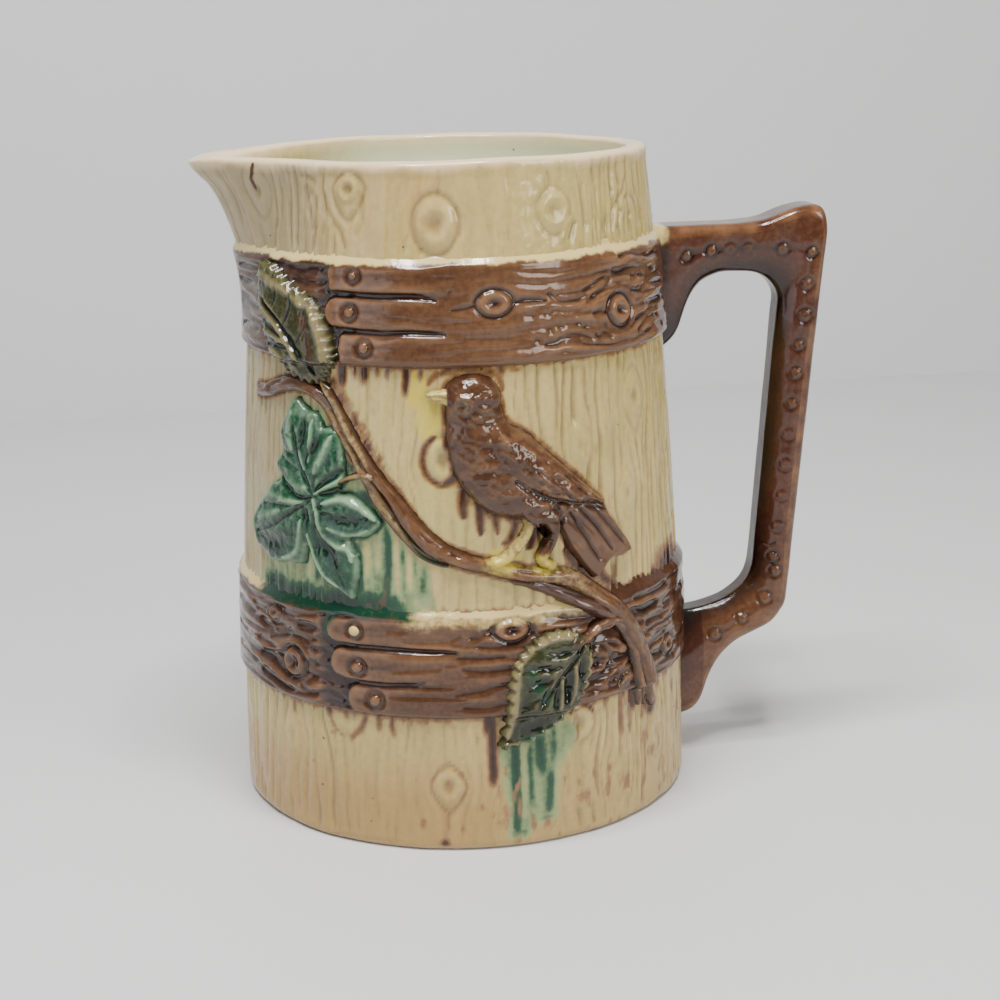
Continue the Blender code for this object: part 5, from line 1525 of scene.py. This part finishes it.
reliefTile("bird", boxAround(outlines["birdBody"] + outlines["birdTail"] + [(-17, 128), (5, 80)]),
           leafStep[front], front,
           birdShape, glazes["bird"])
print("bird laid")

# Handle: stations as in the solid, outer and inner point each
handle = {
    "thickness": 16.0, "edge": 3.2, "barHigh": 12.8, "barLow": 11.1, "top": 164.5, "topReach": 112.2,
    "arm": 14.3, "low": 41.0, "lowReach": 100.4, "rootDrop": 30.5, "lowThroat": 4.5, "tongueDrop": 40.0,
    "knobRise": 5.0, "knobLength": 19.0, "parts": (34, 6, 14, 6, 34, 6, 14, 6), "caps": 3,
}


def handleStations():
    h = handle
    rise, root = h["top"] - h["low"], 0.75 * form["wall"]

    def outer(z):
        return h["lowReach"] + (h["topReach"] - h["lowReach"]) * (z - h["low"]) / rise

    def inner(z):
        return outer(z) - h["barLow"] - (h["barHigh"] - h["barLow"]) * (z - h["low"]) / rise

    under, tongue, tail = h["top"] - h["arm"], h["top"] - h["tongueDrop"], h["low"] - h["rootDrop"]
    throat, bend = h["low"] + h["lowThroat"], h["barHigh"]
    topWall, lowWall = float(wallRadius(h["top"])), float(wallRadius(tail))
    arm, span = h["topReach"] - topWall, h["lowReach"] - lowWall
    stations = [((topWall - root, h["top"]), (float(wallRadius(tongue)) - root, tongue))]
    for far, near, drop in ((0.07, 0.15, 0.72), (0.15, 0.185, 0.46), (0.23, 0.22, 0.27), (0.33, 0.28, 0.10),
                            (0.48, 0.40, 0.0)):
        stations.append(((topWall + arm * far, h["top"]),
                         (topWall + arm * near, under - (under - tongue) * drop)))
    turn = inner(under - bend * 0.6)
    for away, lift, inAway, inDrop in ((1.0, 0.15, 0.62, 0.03), (0.66, 0.7, 0.30, 0.16),
                                       (0.36, 0.95, 0.10, 0.38),
                                       (0.08, 1.0, 0.02, 0.55)):
        stations.append(((h["topReach"] - h["knobLength"] * away, h["top"] + h["knobRise"] * lift),
                         (turn - bend * inAway, under - bend * inDrop)))
    stations.append(((h["topReach"], h["top"] - h["knobRise"] * 0.3), (turn, under - bend * 0.7)))
    knobFoot = h["top"] - h["knobRise"] * 2.2
    stations.append(((outer(knobFoot), knobFoot), (inner(under - bend), under - bend)))
    for share in (0.2, 0.4, 0.6, 0.8):
        z = under - bend - (under - bend - throat - bend) * share
        stations.append(((outer(z), z), (inner(z), z)))
    stations.append(((outer(throat), throat), (inner(throat + bend), throat + bend)))
    for far, drop, near, lift in ((0.985, -0.13, 0.68, 0.70), (0.90, 0.02, 0.58, 0.44),
                                  (0.72, 0.11, 0.45, 0.22),
                                  (0.53, 0.20, 0.31, 0.10), (0.37, 0.36, 0.20, 0.03), (0.27, 0.56, 0.10, 0.0),
                                  (0.20, 0.82, 0.05, 0.0), (0.11, 0.95, 0.02, 0.0)):
        stations.append(((lowWall + span * far, h["low"] - h["rootDrop"] * drop),
                         (lowWall + span * near, throat + bend * lift)))
    stations.append(((lowWall - root, tail), (float(wallRadius(throat)) - root, throat)))
    return np.array([(*outer, *inner) for outer, inner in stations])


# Stations a fixed step apart, with the corners between them rounded off
def handleRun(step=0.6, soften=4):
    stations = handleStations()
    middle = (stations[:, :2] + stations[:, 2:]) / 2
    lengths = np.hypot(*np.diff(middle, axis=0).T) + 0.5 * np.hypot(*np.diff(stations[:, :2], axis=0).T)
    steps = np.concatenate([[0], np.cumsum(lengths)])
    at = np.linspace(0, steps[-1], int(steps[-1] / step))
    run = np.stack([np.interp(at, steps, stations[:, index]) for index in range(4)], -1)
    ends = run[[0, -1]].copy()
    for turn in range(3):
        padded = np.concatenate([np.repeat(run[:1], soften, 0), run, np.repeat(run[-1:], soften, 0)])
        total = np.cumsum(np.concatenate([np.zeros((1, 4)), padded]), 0)
        run = (total[2 * soften + 1:] - total[:-2 * soften - 1]) / (2 * soften + 1)
    run[[0, -1]] = ends
    return run


# The beaded line on both faces of the handle: x, z of each bead; the thread runs between them
beadLine = [
    (68.4, 155.8), (75.9, 156.9), (81.6, 157.2), (86.9, 157.4), (97.6, 156.6), (106.6, 155.4),
    (105.2, 145.9), (104.8, 136.6), (103.1, 127.6), (102.3, 119), (101.2, 109.8), (100.4, 100.4),
    (99.6, 91), (98.6, 81.4), (97.4, 71.6), (96, 61.8), (96.7, 57.3), (93.6, 48.8), (86.3, 42.8),
    (77.7, 38.2),
]
beads = {"size": 1.55, "faint": (2, 3, 11, 12, 13, 14)}


def handleRelief(x, z):
    away, along = lineDistance(x, z, smoothRun(beadLine, 3))[:2]
    wander = 0.35 * softNoise(along * 60, along * 0 + 0.5, 92)
    thread = hill(away, wander, 1.0) * (0.65 + 0.35 * softNoise(along * 40, along * 0 + 2.5, 93))
    lift, poolAndShade, worn = -0.40 * thread, 0.60 * thread, np.zeros(x.shape)
    for index, (bx, bz) in enumerate(beadLine):
        strength = 0.45 if index in beads["faint"] else 1.0
        size = beads["size"] * (0.85 + 0.3 * ((index * 7) % 5) / 4)
        away = np.hypot(x - bx, (z - bz) * 1.05)
        ball = ease(size + 0.4, size - 0.7, away) * strength
        ring = hill(away, size + 0.45, 0.6) * strength
        lift = lift * (1 - ball) + 0.16 * ball - 0.32 * ring - 0.16 * hill(away, 0, 0.5) * strength
        poolAndShade = poolAndShade * (1 - ball) + 0.80 * ring + 0.35 * hill(away, 0, 0.45) * strength
        worn += 0.28 * hill(away, size * 0.55, 0.5) * strength
    crack = stroke(x, z, [(92.2, 66.8), (94.5, 65.6), (96.8, 66.4)], 0.35)
    return lift - 0.5 * crack, poolAndShade + crack, worn


# How far the sides draw in towards the tips where the handle grows out of the wall
def tipWidth(x, z):
    tongue = np.sqrt(np.clip(1 - (np.clip(135.5 - z, 0, None) / 11.5) ** 2, 0.02, 1))
    tail = np.sqrt(np.clip(1 - (np.clip(18 - z, 0, None) / 8.5) ** 2, 0.02, 1))
    return np.where(x < 74, np.where(z > 100, tongue, np.where(z < 20, tail, 1)), 1)


def makeHandle():
    run = handleRun()
    rows = len(run) - 1
    # once round the bar: two faces, the outer and inner edges and four rounded corners
    around = []
    for sector, parts in enumerate(handle["parts"]):
        around += [sector + part / parts for part in range(parts)]
    around = np.array(around)
    columns, caps = len(around), handle["caps"]
    piece = gridPiece("handle", columns, rows + 2 * caps)
    column, row = gridPlaces(piece, columns, rows + 2 * caps)
    outside = np.maximum(caps - row, row - rows - caps)
    shrink = np.where(outside > 0, 1 - outside / caps, 1)
    station = run[np.clip(row - caps, 0, rows)]
    outer, inner = station[:, :2], station[:, 2:]
    depth = np.hypot(*(outer - inner).T)
    along = (outer - inner) / depth[:, None]
    edge, half = handle["edge"], handle["thickness"] / 2
    turn = around[column % columns]
    part, sector = turn % 1, np.floor(turn).astype(int)
    angle = part * math.pi / 2
    flat = edge + (depth - 2 * edge) * part
    outward, inward = edge * np.sin(angle), edge * np.cos(angle)
    across = [flat, depth - edge + outward, depth, depth - edge + inward, depth - flat, edge - outward,
              0 * part,
              edge - inward]
    sideways = [0 * part - half, -half + edge - inward, (2 * part - 1) * (half - edge), half - edge + outward,
                0 * part + half, half - edge + inward, (1 - 2 * part) * (half - edge), -half + edge - outward]
    u = np.choose(sector, across)
    y = np.choose(sector, sideways)
    y = y * (1 - 0.40 * ease(0.55, 0.0, u / depth))  # both faces slope away towards the finger gap
    x = inner[:, 0] + along[:, 0] * u
    z = inner[:, 1] + along[:, 1] * u
    lift, poolAndShade, worn = handleRelief(x, z)
    onFace = ease(0.55, 0.98, np.abs(y) / half) * ((sector == 0) | (sector == 4) | (sector % 2 == 1))
    wave = 0.20 * softNoise(x * 0.12 + y * 0.1, z * 0.12, 91)
    y = (y + np.sign(y) * (lift * onFace + wave)) * tipWidth(x, z)
    middle = (inner + outer) / 2
    x = middle[:, 0] + (x - middle[:, 0]) * shrink
    z = middle[:, 1] + (z - middle[:, 1]) * shrink
    writePoints(piece, np.stack([x, y * shrink, z], -1) * unit)
    corner = (sector % 2 == 1) * (u > depth / 2)
    seam = ease(64.5, 61.5, x) * (z > 118) * (z < 160)
    faint = 0.55 + 0.45 * ease(146, 152, z)
    uneven = 0.5 + 0.5 * softNoise(x * 0.25, z * 0.25, 94)
    # the top face of the upper arm, which gets painted shade with a plum tint
    shadedTopFace = (sector == 2) * (z > 160)
    # painted shade: the faces darken towards the finger gap, and the top face of the upper arm is darkened
    # and tinted plum
    masks = {"poolAndShade": poolAndShade * onFace * faint + 0.85 * ease(0.42, 0.04, u / depth) + 0.7 * seam
             + 0.35 * ease(72, 66, x) * (z < 60) + 0.45 * shadedTopFace,
             "worn": worn * onFace * faint + 0.45 * corner * uneven + 0.10 * (sector == 2) * (z < 160)
             + 0.30 * onFace * ease(0.45, 0.85, u / depth) * uneven + 0.3 * ease(64, 50, z) * (x > 74),
             "cream": ease(64, 60.5, x) * ease(158, 162, z), "yellow": np.zeros(len(x)),
             "green": 0.35 * ease(77, 70, x) * ease(0.2, 0, u / depth) * (z < 60),
             "plum": 0.35 * (sector == 2) * (z > 150)}
    for label, values in masks.items():
        setMask(piece, label, values)
    mergeAndTurnOut()
    finishPiece(piece, glazes["handle"])
    return piece


handlePiece = makeHandle()
print("handle drawn", len(handlePiece.data.polygons))

# Floor, backdrop, light and camera
studio = {
    "floorTone": (0.66, 0.66, 0.655), "wallTone": (0.68, 0.68, 0.68), "wallAt": 0.56, "reach": 3.0,
    "worldTone": (0.80, 0.83, 0.88), "worldStrength": 0.24,
}
camera = {"lens": 69.84, "place": (-0.0765, -0.5617, 0.2304), "looking": (0.1514, 0.9562, -0.2506),
          "roll": -1.23}
lamp = {"middle": (-0.10, -0.30, 1.05), "size": (0.42, 0.30), "strip": 0.07, "power": 5.2}


def plainMaterial(name, tone, roughness):
    material = bpy.data.materials.new(name)
    material.use_nodes = True
    shader = material.node_tree.nodes["Principled BSDF"]
    shader.inputs["Base Color"].default_value = (*tone, 1)
    shader.inputs["Roughness"].default_value = roughness
    return material


# Paper that is seen from its front only, so that it hides nothing from a viewer behind it
def backdropPaper():
    material = plainMaterial("backdropPaper", studio["wallTone"], 0.8)
    tree = material.node_tree
    behind = addNode(tree, "ShaderNodeNewGeometry")
    seen = addNode(tree, "ShaderNodeMath", {0: 1.0, 1: behind.outputs["Backfacing"]}, operation="SUBTRACT")
    tree.links.new(seen.outputs[0], tree.nodes["Principled BSDF"].inputs["Alpha"])
    return material


def makeStage():
    bpy.ops.object.select_all(action="DESELECT")
    bpy.ops.mesh.primitive_plane_add(size=2 * studio["reach"],
                                     location=(0, studio["wallAt"] - studio["reach"], 0))
    table = bpy.context.active_object
    table.name = "table"
    table.data.materials.append(plainMaterial("tableTop", studio["floorTone"], 0.5))
    bpy.ops.object.select_all(action="DESELECT")
    bpy.ops.mesh.primitive_plane_add(size=2 * studio["reach"],
                                     location=(0, studio["wallAt"], 0.9 * studio["reach"]),
                                     rotation=(math.pi / 2, 0, 0))
    backdrop = bpy.context.active_object
    backdrop.name = "backdrop"
    backdrop.data.materials.append(backdropPaper())


softLights = {
    "windowRight": {"place": (0.85, -0.95, 0.60), "size": (0.5, 0.6), "power": 8.0,
                    "tone": (1.0, 0.96, 0.90)},
    "fillLeft": {"place": (-1.1, -0.7, 0.45), "size": (0.7, 0.9), "power": 3.5, "tone": (0.88, 0.93, 1.0)},
}
lightTarget = (0, 0, 0.1)  # the middle of the pitcher


def makeLight(name, place, target, size, power, tone=(1, 1, 1)):
    light = bpy.data.lights.new(name, "AREA")
    light.shape = "RECTANGLE"
    light.size, light.size_y = size
    light.energy = power
    light.color = tone
    holder = bpy.data.objects.new(name, light)
    holder.location = place
    holder.rotation_euler = (Vector(target) - Vector(place)).to_track_quat("-Z", "Y").to_euler()
    bpy.context.scene.collection.objects.link(holder)


# Four strips round an open middle, so that the glaze shows a looped highlight
def makeLampFrame():
    (x, y, z), (wide, deep), strip = lamp["middle"], lamp["size"], lamp["strip"]
    for index, (dx, dy, size) in enumerate(((0, deep / 2, (wide, strip)), (0, -deep / 2, (wide, strip)),
                                            (wide / 2, 0, (strip, deep)), (-wide / 2, 0, (strip, deep)))):
        place = (x + dx, y + dy, z)
        makeLight(f"lampStrip{index + 1}", place, (place[0], place[1], 0), size, lamp["power"])


def makeCamera():
    data = bpy.data.cameras.new("camera")
    data.lens = camera["lens"]
    data.sensor_width = 36
    data.clip_start = 0.01
    holder = bpy.data.objects.new("camera", data)
    bpy.context.scene.collection.objects.link(holder)
    holder.rotation_euler = Vector(camera["looking"]).to_track_quat("-Z", "Y").to_euler()
    holder.rotation_euler.rotate_axis("Z", math.radians(camera["roll"]))
    holder.location = camera["place"]
    bpy.context.scene.camera = holder


makeStage()
makeLampFrame()
for name, light in softLights.items():
    makeLight(name, light["place"], lightTarget, light["size"], light["power"], light["tone"])
world = bpy.data.worlds.new("studioRoom")
world.use_nodes = True
world.node_tree.nodes["Background"].inputs["Color"].default_value = (*studio["worldTone"], 1)
world.node_tree.nodes["Background"].inputs["Strength"].default_value = studio["worldStrength"]
bpy.context.scene.world = world
makeCamera()
print("studio lit")
